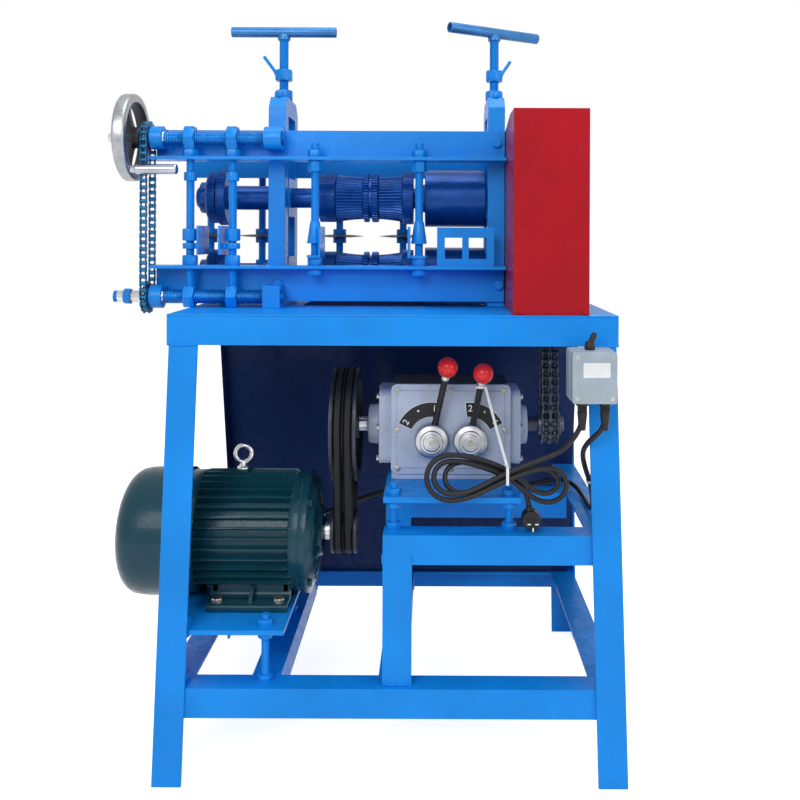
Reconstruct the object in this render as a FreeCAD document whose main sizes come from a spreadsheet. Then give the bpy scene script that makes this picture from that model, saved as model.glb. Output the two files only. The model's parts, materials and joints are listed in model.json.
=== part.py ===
import FreeCAD, Part
import math
import os
import Sketcher
from FreeCAD import Placement, Rotation, Vector

# An electric wire stripping machine: a welded table, a geared drive under it and a roller head on top.
# X runs to the right, Y to the back and Z up, in millimetres, from the middle of the floor under the table.
# Each sub-part is then set over to the frame whose origin is the middle of the machine's outline.

# Driving dimensions
SIZES = {
    "table_half_length": 387.5,
    "table_half_depth": 270,
    "table_height": 790,
    "table_sheet": 3,
    "angle_side": 50,
    "angle_wall": 5,
    "foot_half_length": 400,
    "foot_half_depth": 305,
    "leg_head_half_length": 384,
    "leg_head_half_depth": 270,
    "base_top": 160,
    "base_half_length": 391.4,
    "base_half_depth": 292.3,
    "motor_rail_right": -193,
    "cross_rail_right": 27,
    "stand_top_over_base": 256,
    "stand_front": -280.1,
    "stand_right": 385.9,
    "stand_rear": 280.1,
    "stand_left": -15,
    "stand_middle": -20,
    "drop_left": -187,
    "drop_right": 172.5,
    "drop_front": -70,
    "drop_rear": 110,
    "chain_slot_left": 262,
    "chain_slot_right": 326,
    "chain_slot_front": -104,
    "chain_slot_rear": 0,
    "chute_wall": 2,
    "chute_half_length": 379,
    "chute_back": 112,
    "chute_knee_under_table": 55,
    "chute_foot_back": 250,
    "chute_notch_left": 334,
    "motor_back": -100,
    "motor_height_over_plate": 112,
    "motor_barrel_left": -360,
    "motor_barrel_right": -172,
    "motor_left": -504,
    "motor_right": -136,
    "motor_core": 98,
    "motor_fin_reach": 113,
    "motor_fin": 3,
    "motor_fins": 36,
    "motor_shield": 111.5,
    "motor_cover": 116.5,
    "motor_cover_right": -388,
    "motor_bore": 62,
    "motor_shaft": 14,
    "motor_foot_gauge": 95,
    "motor_foot_left": -333,
    "motor_foot_right": -189,
    "motor_plate_left": -386,
    "motor_plate_right": -182,
    "motor_plate_front": -284,
    "motor_plate_rear": 48,
    "motor_plate_top_over_base": 94.5,
    "motor_plate_thick": 8,
    "stud_left": -360,
    "stud_right": -217,
    "stud_front": -262,
    "stud_back": 27,
    "stud_radius": 7,
    "nut_flats": 24,
    "nut_height": 12,
    "gear_plate_left": -15.6,
    "gear_plate_right": 222.8,
    "gear_plate_front": -258,
    "gear_plate_rear": 34,
    "gear_plate_top_over_stand": 58.5,
    "gear_plate_thick": 10,
    "gear_stud_left": 2,
    "gear_stud_right": 203,
    "gear_stud_front": -241,
    "gear_stud_back": 8,
    "gear_back": -65,
    "gear_height_over_case": 78,
    "gear_front": -145,
    "gear_rear": -12,
    "gear_left": -8,
    "gear_right": 214,
    "gear_bottom_over_plate": 9.5,
    "gear_top_over_case": 167,
    "gear_wall": 9,
    "gear_cover": 9,
    "gear_shaft": 14,
    "boss_radius": 36.5,
    "lever_left": 67.4,
    "lever_right": 137.9,
    "lever_height_over_case": 67,
    "lever_hub": 31,
    "lever_pin": 10,
    "lever_rod": 6,
    "ball_radius": 18.5,
    "dial_inner": 40,
    "dial_outer": 68,
    "pulley_left": -121,
    "pulley_right": -72,
    "big_pulley": 108,
    "small_pulley": 41.5,
    "belt_gauge": 9.5,
    "belt_top": 8.5,
    "belt_bottom": 4.5,
    "belt_height": 11,
    "rail_left": -462,
    "rear_rail_left": -441,
    "rail_right": 205,
    "rail_wall": 6,
    "rail_leg": 60,
    "rail_flange": 56,
    "slot_half_width": 9,
    "frame_left": -249,
    "frame_right": 173.5,
    "frame_thick": 32.5,
    "frame_half_depth": 79,
    "frame_top_over_table": 406,
    "frame_window": 42,
    "frame_bridge": 36,
    "upper_axis_over_table": 211,
    "lower_axis_over_table": 56,
    "shaft_radius": 20,
    "shaft_left": -404,
    "shaft_right": 319,
    "block_half": 38,
    "roller_left": -124,
    "roller_right": 8.6,
    "roller_end": 47.5,
    "roller_waist": 41.8,
    "toothed_ring": 48,
    "fine_ring_right": 29.2,
    "fine_ring": 52,
    "drum_left": 52,
    "drum_right": 171,
    "drum_radius": 57,
    "collar_left": -158,
    "collar_radius": 48,
    "slim_disc_left": -380.5,
    "slim_disc_right": -360,
    "slim_disc": 51,
    "wide_disc_left": -358,
    "wide_disc_right": -340,
    "wide_disc": 55.4,
    "disc_hub_left": -396,
    "disc_hub": 31,
    "sleeve_radius": 22,
    "press_radius": 9.5,
    "press_nut": 30,
    "press_nut_height": 21,
    "lock_nut_bottom_over_table": 446,
    "lock_nut_height": 22,
    "lock_nut": 32,
    "handle_height_over_table": 544,
    "handle_radius": 10.25,
    "handle_half": 105,
    "lead_back": -115,
    "lead_upper_over_table": 318.5,
    "lead_lower_over_table": 20.05,
    "lead_radius": 13.5,
    "lead_over_flange": 41.5,
    "flange_over_lower_lead": 52.95,
    "lead_upper_left": -542,
    "lead_lower_left": -532,
    "lead_nut_upper": 21,
    "lead_nut_lower": 19.5,
    "lead_nut_half": 10,
    "lead_chain": -469,
    "lead_collar": 22,
    "outer_column": -389,
    "inner_column": -309,
    "left_column": -154,
    "right_column": 42,
    "column_radius": 8,
    "wheel_left": -511.5,
    "wheel_right": -488,
    "wheel_radius": 82,
    "grip_radius": 9.35,
    "grip_right": -402,
    "grip_forward": 42.2,
    "grip_down": 62,
    "splitter_first": -408,
    "splitter_second": -298,
    "splitter_third": -132,
    "splitter_fourth": 4,
    "splitter_back": 121,
    "splitter_height_over_table": 135,
    "splitter_radius": 52,
    "splitter_thick": 6,
    "window_left": 76,
    "window_right": 183,
    "cover_left": 206.5,
    "cover_right": 338,
    "cover_front": -265,
    "cover_rear": 105,
    "cover_top_over_table": 357,
    "cover_rear_top_over_table": 310,
    "cover_wall": 2,
    "drive_pitch": 15.875,
    "lead_pitch": 12.7,
    "drive_left": 268,
    "switch_left": 296,
    "switch_right": 370,
    "switch_front": -350,
    "switch_back": -280,
    "switch_bottom_under_top": 85,
    "switch_top_under_table": 52,
    "knob_left": 330,
    "cord_radius": 4.5,
}

document = FreeCAD.newDocument("WireStripper")
sheet = document.addObject("Spreadsheet::Sheet", "Sizes")
for row, (alias, number) in enumerate(SIZES.items(), 1):
    sheet.set(f"A{row}", alias.replace("_", " "))
    sheet.set(f"B{row}", str(number))
    sheet.setAlias(f"B{row}", alias)
document.recompute()


class Size:
    """A length with its value and the formula that reads it from the sheet."""

    def __init__(self, value, formula):
        self.value = value
        self.formula = formula

    def join(self, other, sign, result):
        text = other.formula if isinstance(other, Size) else repr(other)
        return Size(result, f"({self.formula} {sign} {text})")

    def __add__(self, other):
        return self.join(other, "+", self.value + number_of(other))

    def __sub__(self, other):
        return self.join(other, "-", self.value - number_of(other))

    def __mul__(self, other):
        return self.join(other, "*", self.value * number_of(other))

    def __truediv__(self, other):
        return self.join(other, "/", self.value / number_of(other))

    def __radd__(self, other):
        return Size(other + self.value, f"({other!r} + {self.formula})")

    def __rsub__(self, other):
        return Size(other - self.value, f"({other!r} - {self.formula})")

    def __rmul__(self, other):
        return Size(other * self.value, f"({other!r} * {self.formula})")

    def __neg__(self):
        return Size(-self.value, f"(0 - {self.formula})")


class Sheet:
    """The sizes of the sheet, asked for by name."""

    def __getattr__(self, alias):
        return Size(float(sheet.get(alias)), f"Sizes.{alias}")


def number_of(size):
    """The plain number of a size or a number."""
    return size.value if isinstance(size, Size) else float(size)


s = Sheet()

# Heights that follow the part they stand on
s.upper_axis = s.table_height + s.upper_axis_over_table
s.lower_axis = s.table_height + s.lower_axis_over_table
s.frame_top = s.table_height + s.frame_top_over_table
s.lock_nut_bottom = s.table_height + s.lock_nut_bottom_over_table
s.handle_height = s.table_height + s.handle_height_over_table
s.lead_upper = s.table_height + s.lead_upper_over_table
s.lead_lower = s.table_height + s.lead_lower_over_table
s.splitter_height = s.table_height + s.splitter_height_over_table
s.cover_top = s.table_height + s.cover_top_over_table
s.cover_rear_top = s.table_height + s.cover_rear_top_over_table
s.chute_knee = s.table_height - s.chute_knee_under_table
s.switch_top = s.table_height - s.switch_top_under_table
s.switch_bottom = s.switch_top - s.switch_bottom_under_top
s.stand_top = s.base_top + s.stand_top_over_base
s.motor_plate_top = s.base_top + s.motor_plate_top_over_base
s.motor_height = s.motor_plate_top + s.motor_height_over_plate
s.gear_plate_top = s.stand_top + s.gear_plate_top_over_stand
s.gear_bottom = s.gear_plate_top + s.gear_bottom_over_plate
s.gear_top = s.gear_bottom + s.gear_top_over_case
s.gear_height = s.gear_bottom + s.gear_height_over_case
s.lever_height = s.gear_bottom + s.lever_height_over_case

# The machine's origin is the middle of its whole outline, which the lead screw and the switch box reach
s.shift_right = (-s.lead_upper_left - s.foot_half_length) / 2
s.shift_back = (-s.switch_front - s.foot_half_depth) / 2

NODES = []


def bind(item, name, size):
    """Drive one property of an object from the sheet."""
    if isinstance(size, Size):
        item.setExpression(name, size.formula)


def give(item, **sizes):
    """Set properties of an object, each with its formula."""
    for name, size in sizes.items():
        setattr(item, name, number_of(size))
        bind(item, name, size)
    return item


def place(item, x=0, y=0, z=0, turn=None):
    """Put an object at a point, turned when a rotation is given."""
    item.Placement = Placement(Vector(number_of(x), number_of(y), number_of(z)), turn or Rotation())
    for letter, size in (("x", x), ("y", y), ("z", z)):
        bind(item, f"Placement.Base.{letter}", size)
    return item


def along(axis):
    """The rotation that lays the upright direction along an axis."""
    if axis == "X":
        return Rotation(Vector(0, 1, 0), 90)
    if axis == "Y":
        return Rotation(Vector(1, 0, 0), -90)
    return Rotation()


def spot(axis, start, first, second):
    """The point at a start along an axis, with the two other coordinates in order."""
    if axis == "X":
        return start, first, second
    if axis == "Y":
        return first, start, second
    return first, second, start


def block(name, x0, x1, y0, y1, z0, z1):
    """A box between its limits."""
    item = document.addObject("Part::Box", name)
    give(item, Length=x1 - x0, Width=y1 - y0, Height=z1 - z0)
    return place(item, x0, y0, z0)


def rod(name, axis, start, end, first, second, radius):
    """A round bar along an axis."""
    item = document.addObject("Part::Cylinder", name)
    give(item, Radius=radius, Height=end - start)
    return place(item, *spot(axis, start, first, second), along(axis))


def taper(name, axis, start, end, first, second, radius0, radius1):
    """A cone along an axis."""
    item = document.addObject("Part::Cone", name)
    give(item, Radius1=radius0, Radius2=radius1, Height=end - start)
    return place(item, *spot(axis, start, first, second), along(axis))


def ball(name, x, y, z, radius):
    """A sphere at a point."""
    item = document.addObject("Part::Sphere", name)
    give(item, Radius=radius)
    return place(item, x, y, z)


def bar(name, start, end, radius):
    """A round bar between two points."""
    item = document.addObject("Part::Cylinder", name)
    way = Vector(*end) - Vector(*start)
    give(item, Radius=radius, Height=way.Length)
    return place(item, *start, Rotation(Vector(0, 0, 1), way))


def prism(name, axis, start, end, first, second, flats, spin=0):
    """A hexagon bar along an axis."""
    item = document.addObject("Part::Prism", name)
    item.Polygon = 6
    give(item, Circumradius=flats / math.sqrt(3), Height=end - start)
    turn = along(axis).multiply(Rotation(Vector(0, 0, 1), spin))
    return place(item, *spot(axis, start, first, second), turn)


def cut(name, base, *tools):
    """One object less others."""
    item = document.addObject("Part::Cut", name)
    item.Base = base
    item.Tool = tools[0] if len(tools) == 1 else fuse(name + "Tools", *tools)
    return item


def fuse(name, *shapes):
    """Several objects joined to one."""
    item = document.addObject("Part::MultiFuse", name)
    item.Shapes = list(shapes)
    return item


def tube(name, axis, start, end, first, second, radius, bore):
    """A round bar with a bore right through."""
    outer = rod(name + "Outer", axis, start, end, first, second, radius)
    inner = rod(name + "Bore", axis, start - 1, end + 1, first, second, bore)
    return cut(name, outer, inner)


def nut(name, axis, start, end, first, second, flats, bore, spin=0):
    """A hexagon nut."""
    outer = prism(name + "Hexagon", axis, start, end, first, second, flats, spin)
    inner = rod(name + "Thread", axis, start - 1, end + 1, first, second, bore)
    return cut(name, outer, inner)


def body(name):
    """An empty body."""
    return document.addObject("PartDesign::Body", name)


def sketch(owner, name, plane):
    """A sketch on one of a body's own planes."""
    item = owner.newObject("Sketcher::SketchObject", name)
    flat = next(each for each in owner.Origin.OriginFeatures if each.Role == plane + "_Plane")
    item.AttachmentSupport = [(flat, "")]
    item.MapMode = "FlatFace"
    return item


def outline(item, points):
    """Draw a closed outline whose corners are all dimensioned from the sheet."""
    flat = [Vector(number_of(a), number_of(b), 0) for a, b in points]
    first = item.GeometryCount
    for here, there in zip(flat, flat[1:] + flat[:1]):
        item.addGeometry(Part.LineSegment(here, there), False)
    for step in range(len(flat)):
        after = (step + 1) % len(flat)
        item.addConstraint(Sketcher.Constraint("Coincident", first + step, 2, first + after, 1))
    for step, (a, b) in enumerate(points):
        for kind, size in (("DistanceX", a), ("DistanceY", b)):
            index = item.addConstraint(Sketcher.Constraint(kind, -1, 1, first + step, 1, number_of(size)))
            bind(item, f"Constraints[{index}]", size)


def ring(item, across, up, radius):
    """Draw a circle dimensioned from the sheet."""
    centre = Vector(number_of(across), number_of(up), 0)
    index = item.GeometryCount
    item.addGeometry(Part.Circle(centre, Vector(0, 0, 1), number_of(radius)), False)
    for kind, size in (("DistanceX", across), ("DistanceY", up)):
        place_index = item.addConstraint(Sketcher.Constraint(kind, -1, 1, index, 3, number_of(size)))
        bind(item, f"Constraints[{place_index}]", size)
    radius_index = item.addConstraint(Sketcher.Constraint("Radius", index, number_of(radius)))
    bind(item, f"Constraints[{radius_index}]", radius)


def pad(owner, name, drawn, length, way=None):
    """Raise a sketch to a solid, towards plus on its own axis."""
    item = owner.newObject("PartDesign::Pad", name)
    item.Profile = drawn
    give(item, Length=length)
    item.Reversed = drawn.AttachmentSupport[0][0].Role == "XZ_Plane"
    if way:
        item.UseCustomVector = True
        item.AlongSketchNormal = True
        item.Direction = Vector(*[number_of(each) for each in way])
        for letter, size in zip("xyz", way):
            bind(item, f"Direction.{letter}", size)
    return item


def extrusion(name, axis, start, end, points, holes=()):
    """A body raised along an axis from an outline, with round holes as centre and radius."""
    owner = body(name)
    drawn = sketch(owner, name + "Outline", {"X": "YZ", "Y": "XZ", "Z": "XY"}[axis])
    outline(drawn, points)
    for hole in holes:
        ring(drawn, *hole)
    pad(owner, name + "Pad", drawn, end - start)
    return place(owner, *spot(axis, start, 0, 0))


def turned(name, axis, first, second, points):
    """A body turned about an axis from steps of place and radius."""
    owner = body(name)
    drawn = sketch(owner, name + "Section", "YZ" if axis == "Y" else "XZ")
    outline(drawn, [(b, a) for a, b in points] if axis == "Z" else points)
    item = owner.newObject("PartDesign::Revolution", name + "Turn")
    item.Profile = drawn
    item.ReferenceAxis = (drawn, ["V_Axis" if axis == "Z" else "H_Axis"])
    item.Angle = 360
    return place(owner, *spot(axis, 0, first, second))


def steps(*parts):
    """The outline of a turned piece from its steps: left, right, radius and an optional bore."""
    top = []
    low = []
    for left, right, radius, *bore in parts:
        top += [(left, radius), (right, radius)]
        low += [(left, bore[0] if bore else 0), (right, bore[0] if bore else 0)]
    return tidy(top + low[::-1])


def tidy(points):
    """Drop repeated corners and corners on a straight side."""
    kept = []
    for point in points:
        spot_now = (number_of(point[0]), number_of(point[1]))
        if kept and math.dist(spot_now, (number_of(kept[-1][0]), number_of(kept[-1][1]))) < 1e-6:
            continue
        kept.append(point)
    corners = []
    for index, point in enumerate(kept):
        a, b = (number_of(each) for each in kept[index - 1])
        c, d = (number_of(each) for each in point)
        e, f = (number_of(each) for each in kept[(index + 1) % len(kept)])
        if abs((c - a) * (f - b) - (d - b) * (e - a)) > 1e-6:
            corners.append(point)
    return corners


def node(label, *shapes):
    """Name one sub-part, made of one or several solids, and move it from the table's frame."""
    item = document.addObject("Part::Compound", label)
    item.Links = list(shapes)
    item.Label = label
    NODES.append(item)
    return place(item, s.shift_right, s.shift_back, 0)


# Table
def angle_points(corner_a, corner_b, way_a, way_b):
    """The outline of angle steel from its outer corner and the two ways its flanges run."""
    side_a = s.angle_side * way_a
    side_b = s.angle_side * way_b
    wall_a = s.angle_wall * way_a
    wall_b = s.angle_wall * way_b
    return [
        (corner_a, corner_b),
        (corner_a + side_a, corner_b),
        (corner_a + side_a, corner_b + wall_b),
        (corner_a + wall_a, corner_b + wall_b),
        (corner_a + wall_a, corner_b + side_b),
        (corner_a, corner_b + side_b),
    ]


def leg(name, side, back):
    """One splayed leg of angle steel, corner outward."""
    owner = body(name)
    drawn = sketch(owner, name + "Outline", "XY")
    outline(drawn, angle_points(s.foot_half_length * side, s.foot_half_depth * back, -side, -back))
    height = s.table_height - s.table_sheet - s.angle_side
    lean_x = (s.leg_head_half_length - s.foot_half_length) * side
    lean_y = (s.leg_head_half_depth - s.foot_half_depth) * back
    pad(owner, name + "Pad", drawn, height, (lean_x, lean_y, height))
    return owner


def rail_along_x(name, start, end, front, top, way):
    """Angle steel running left to right, its upright flange at the given face."""
    return extrusion(name, "X", start, end, angle_points(front, top, way, -1))


def rail_along_y(name, start, end, face, top, way):
    """Angle steel running front to back, its upright flange at the given face."""
    return extrusion(name, "Y", start, end, angle_points(face, top, way, -1))


def holes(name, base, spots, bottom, top, radius):
    """Upright holes through an object."""
    tools = [rod(f"{name}Hole{index}", "Z", bottom, top, x, y, radius) for index, (x, y) in enumerate(spots)]
    return cut(name, base, *tools)


node("left_legs", leg("FrontLeftLeg", -1, -1), leg("RearLeftLeg", -1, 1))
node("right_legs", leg("FrontRightLeg", 1, -1), leg("RearRightLeg", 1, 1))

apron_top = s.table_height - s.table_sheet
long_x = s.table_half_length
long_y = s.table_half_depth
inner_y = long_y - s.angle_side
apron = [
    rail_along_x("FrontApron", -long_x, long_x, -long_y, apron_top, 1),
    rail_along_x("RearApron", -long_x, long_x, long_y, apron_top, -1),
    rail_along_y("LeftApron", -inner_y, inner_y, -long_x, apron_top, 1),
    rail_along_y("RightApron", -inner_y, inner_y, long_x, apron_top, -1),
]
for side, side_name in ((-1, "Left"), (1, "Right")):
    for back, back_name in ((-1, "Front"), (1, "Rear")):
        near = sorted((inner_y * back, (long_y - s.angle_wall) * back), key=number_of)
        face = sorted((long_x * side, (long_x - s.angle_wall) * side), key=number_of)
        apron.append(block(f"{back_name}{side_name}Web", *face, *near,
                           apron_top - s.angle_side, apron_top - s.angle_wall))
node("table_apron", *apron)

top_body = body("TableTop")
top_sketch = sketch(top_body, "TableTopOutline", "XY")
outline(top_sketch, [(-long_x, -long_y), (long_x, -long_y), (long_x, long_y), (-long_x, long_y)])
for left, right, front, rear in (
    (s.drop_left, s.drop_right, s.drop_front, s.drop_rear),
    (s.chain_slot_left, s.chain_slot_right, s.chain_slot_front, s.chain_slot_rear),
):
    outline(top_sketch, [(left, front), (right, front), (right, rear), (left, rear)])
pad(top_body, "TableTopPad", top_sketch, s.table_sheet)
node("table_top", place(top_body, 0, 0, apron_top))

# Base rails
base_x = s.base_half_length
base_y = s.base_half_depth
inner_base = base_y - s.angle_side
stud_hole = s.stud_radius + 0.5
low = s.base_top - s.angle_wall - 5
high = s.base_top + 5
front_rail = holes("FrontBase", rail_along_x("FrontBaseBar", -base_x, base_x, -base_y, s.base_top, 1),
                   ((s.stud_left, s.stud_front), (s.stud_right, s.stud_front)), low, high, stud_hole)
left_rail = holes("LeftBase", rail_along_y("LeftBaseBar", -inner_base, inner_base, -base_x, s.base_top, 1),
                  ((s.stud_left, s.stud_back),), low, high, stud_hole)
motor_rail = holes("MotorRail",
                   rail_along_y("MotorRailBar", -inner_base, inner_base, s.motor_rail_right, s.base_top, -1),
                   ((s.stud_right, s.stud_back),), low, high, stud_hole)
node("base_rails", front_rail, left_rail, motor_rail,
     rail_along_x("RearBase", -base_x, base_x, base_y, s.base_top, -1),
     rail_along_y("RightBase", -inner_base, inner_base, base_x, s.base_top, -1),
     rail_along_y("CrossRail", -inner_base, inner_base, s.cross_rail_right, s.base_top, -1))

# Stand of the gearbox
stand_bottom = s.stand_top - s.angle_side
rear_right = s.stand_right - s.angle_side
front_bar = holes("StandFront",
                  rail_along_x("StandFrontBar", s.stand_left, s.stand_right, s.stand_front, s.stand_top, 1),
                  ((s.gear_stud_left, s.gear_stud_front), (s.gear_stud_right, s.gear_stud_front)),
                  s.stand_top - 10, s.stand_top + 5, stud_hole)
rear_bar = holes("StandRear",
                 rail_along_x("StandRearBar", s.stand_left - 8, rear_right, s.stand_middle, s.stand_top, 1),
                 ((s.gear_stud_left, s.gear_stud_back), (s.gear_stud_right, s.gear_stud_back)),
                 s.stand_top - 10, s.stand_top + 5, stud_hole)
side_bar = rail_along_y("StandSide", s.stand_front + s.angle_side, s.stand_rear, s.stand_right,
                        s.stand_top, -1)
front_post = extrusion("StandFrontPost", "Z", s.base_top, stand_bottom,
                       angle_points(s.stand_left, s.stand_front, 1, 1))
rear_post = extrusion("StandRearPost", "Z", s.base_top, stand_bottom,
                      angle_points(s.stand_left - 8, s.stand_middle, 1, 1))
node("gearbox_stand", front_bar, rear_bar, side_bar, front_post, rear_post)

# Chute
chute_x = s.chute_half_length
sheet_points = [
    (s.chute_back, s.chute_knee),
    (s.chute_foot_back, s.base_top),
    (s.chute_foot_back + s.chute_wall, s.base_top),
    (s.chute_back + s.chute_wall, s.chute_knee),
]
slope = extrusion("ChuteSlope", "X", -chute_x, chute_x, sheet_points)
notch = block("ChuteNotch", s.chute_notch_left, chute_x + 10, s.chute_back, s.stand_rear,
              stand_bottom - 6, s.stand_top + 6)
upstand = block("ChuteUpstand", s.drop_left, s.drop_right, s.chute_back, s.chute_back + s.chute_wall,
                s.chute_knee, apron_top)
lip_points = [
    (s.chute_back, s.chute_knee),
    (s.chute_foot_back, s.base_top),
    (s.chute_foot_back - 30, s.base_top),
    (s.chute_back - 28, s.chute_knee - 30),
]
lip = extrusion("ChuteLip", "X", -chute_x, -chute_x + s.chute_wall, lip_points)
node("chute", cut("ChuteSheet", slope, notch), upstand, lip)


# Plates and their studs
def plate(name, left, right, front, rear, top, thick, spots):
    """A flat plate with four stud holes."""
    owner = body(name)
    drawn = sketch(owner, name + "Outline", "XY")
    outline(drawn, [(left, front), (right, front), (right, rear), (left, rear)])
    for x, y in spots:
        ring(drawn, x, y, stud_hole)
    pad(owner, name + "Pad", drawn, thick)
    return place(owner, 0, 0, top - thick)


motor_studs = [(x, y) for x in (s.stud_left, s.stud_right) for y in (s.stud_front, s.stud_back)]
gear_studs = [(x, y) for x in (s.gear_stud_left, s.gear_stud_right)
              for y in (s.gear_stud_front, s.gear_stud_back)]
motor_plate = plate("MotorPlate", s.motor_plate_left, s.motor_plate_right, s.motor_plate_front,
                    s.motor_plate_rear, s.motor_plate_top, s.motor_plate_thick, motor_studs)
gear_plate = plate("GearPlate", s.gear_plate_left, s.gear_plate_right, s.gear_plate_front,
                   s.gear_plate_rear, s.gear_plate_top, s.gear_plate_thick, gear_studs)
node("mounting_plates", motor_plate, gear_plate)


def studs(name, spots, rail_top, plate_top, thick):
    """Level setting studs: each with a nut under and over the rail and under and over the plate."""
    made = []
    tall = s.nut_height
    for index, (x, y) in enumerate(spots):
        own = f"{name}{index}"
        made.append(rod(own + "Stud", "Z", rail_top - s.angle_wall - 20, plate_top + 20, x, y,
                        s.stud_radius))
        for level, bottom in enumerate((
            rail_top - s.angle_wall - tall,
            rail_top,
            plate_top - thick - tall,
            plate_top,
        )):
            made.append(nut(f"{own}Nut{level}", "Z", bottom, bottom + tall, x, y, s.nut_flats,
                            s.stud_radius + 0.1, 15 * level))
    return made


# Motor
foot_y = s.motor_back
rib_top = s.motor_height - 50
eye_x = s.motor_barrel_left + 71
eye_seat = s.motor_height + s.motor_fin_reach
foot_bolts = []
for index, (x, way) in enumerate(((s.motor_foot_left + 17, -1), (s.motor_foot_right - 17, -1),
                               (s.motor_foot_left + 17, 1), (s.motor_foot_right - 17, 1))):
    back = foot_y + s.motor_foot_gauge * way
    foot_bolts.append(prism(f"FootBolt{index}", "Z", s.motor_plate_top + 14, s.motor_plate_top + 21,
                            x, back, 19))
eye = document.addObject("Part::Torus", "LiftingEye")
give(eye, Radius1=15.5, Radius2=4.4)
place(eye, eye_x, foot_y, eye_seat + 28.5, Rotation(Vector(1, 0, 0), 90))
eye_foot = rod("LiftingFoot", "Z", eye_seat, eye_seat + 4.5, eye_x, foot_y, 13)
eye_neck = taper("LiftingNeck", "Z", eye_seat + 4, eye_seat + 12, eye_x, foot_y, 9, 5.5)
node("motor_fasteners", *studs("Motor", motor_studs, s.base_top, s.motor_plate_top, s.motor_plate_thick),
     *foot_bolts, fuse("LiftingBolt", eye, eye_foot, eye_neck))

barrel = body("MotorBarrel")
barrel_sketch = sketch(barrel, "BarrelOutline", "YZ")
ring(barrel_sketch, s.motor_back, s.motor_height, s.motor_core)
barrel_length = s.motor_barrel_right - s.motor_barrel_left
pad(barrel, "BarrelPad", barrel_sketch, barrel_length)
document.recompute()
place(barrel, s.motor_barrel_left, 0, 0)
fins = []
for index in range(int(SIZES["motor_fins"])):
    angle = math.radians(index * 360 / SIZES["motor_fins"])
    low_side = math.degrees(angle)
    if 225 < low_side < 315:
        continue
    fin = document.addObject("Part::Box", f"Fin{index}")
    give(fin, Length=barrel_length, Width=s.motor_fin, Height=s.motor_fin_reach - s.motor_core + 4)
    reach = SIZES["motor_core"] - 4
    half = SIZES["motor_fin"] / 2
    out = Vector(0, math.cos(angle), math.sin(angle))
    across = Vector(0, -math.sin(angle), math.cos(angle))
    axis = Vector(SIZES["motor_barrel_left"], SIZES["motor_back"], s.motor_height.value)
    start = axis + out * reach + across * half
    fin.Placement = Placement(start, Rotation(Vector(1, 0, 0), math.degrees(angle) - 90))
    bind(fin, "Placement.Base.x", s.motor_barrel_left)
    fins.append(fin)
box_left = s.motor_barrel_left + 20
box_back = s.motor_back + 114.5
feet = []
for index, way in enumerate((-1, 1)):
    edges = sorted((foot_y + 62 * way, foot_y + (s.motor_foot_gauge + 17) * way), key=number_of)
    feet.append(block(f"Foot{index}", s.motor_foot_left, s.motor_foot_right, *edges,
                      s.motor_plate_top, s.motor_plate_top + 14))
    web = sorted((foot_y + 62 * way, foot_y + 72 * way), key=number_of)
    feet.append(block(f"FootWeb{index}", s.motor_foot_left, s.motor_foot_right, *web,
                      s.motor_plate_top, rib_top))
for index, x in enumerate((s.motor_foot_left + 4, s.motor_foot_right - 12)):
    feet.append(block(f"FootRib{index}", x, x + 8, foot_y - 72, foot_y + 72,
                      s.motor_plate_top, rib_top))
hollow = rod("BarrelBore", "X", s.motor_barrel_left - 5, s.motor_barrel_right + 5, s.motor_back,
             s.motor_height, s.motor_bore)
box_pad = block("TerminalPad", box_left + 4, box_left + 96, s.motor_back + 80, box_back,
                s.motor_height - 32, s.motor_height + 54)
node("motor_body", cut("MotorHousing", fuse("MotorSolid", barrel, *fins, *feet, box_pad), hollow))

shield_axis = (s.motor_back, s.motor_height)
shaft_hole = s.motor_shaft + 0.3
right_shield = turned("RightShield", "X", *shield_axis, steps(
    (s.motor_barrel_right, s.motor_barrel_right + 16, s.motor_shield, shaft_hole),
    (s.motor_barrel_right + 16, s.motor_right - 8, 92, shaft_hole),
    (s.motor_right - 8, s.motor_right, 44, shaft_hole)))
left_shield = turned("LeftShield", "X", *shield_axis, steps(
    (s.motor_barrel_left - 28, s.motor_barrel_left, s.motor_shield, shaft_hole)))
node("motor_end_shields", left_shield, right_shield)
cowl_points = [
    (s.motor_left, 40),
    (s.motor_left, s.motor_cover - 30.5),
    (s.motor_left + 8, s.motor_cover - 15.5),
    (s.motor_left + 24, s.motor_cover - 3.5),
    (s.motor_left + 49, s.motor_cover),
    (s.motor_cover_right, s.motor_cover),
    (s.motor_cover_right, s.motor_cover - 2),
    (s.motor_left + 49.3, s.motor_cover - 2),
    (s.motor_left + 24.8, s.motor_cover - 5.4),
    (s.motor_left + 9.5, s.motor_cover - 17),
    (s.motor_left + 2, s.motor_cover - 31),
    (s.motor_left + 2, 40),
]
cowl = turned("FanCowl", "X", *shield_axis, cowl_points)
cowl_ring = turned("CowlRing", "X", *shield_axis,
                   steps((s.motor_cover_right - 4, s.motor_cover_right, s.motor_cover - 2, 90)))
node("motor_fan_cover", cowl, cowl_ring)
node("motor_terminal_box",
     block("TerminalBox", box_left, box_left + 100, box_back, box_back + 55.5, s.motor_height - 44,
           s.motor_height + 66),
     block("TerminalLid", box_left - 2, box_left + 102, box_back + 55.5, box_back + 61.5,
           s.motor_height - 46, s.motor_height + 68))

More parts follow.
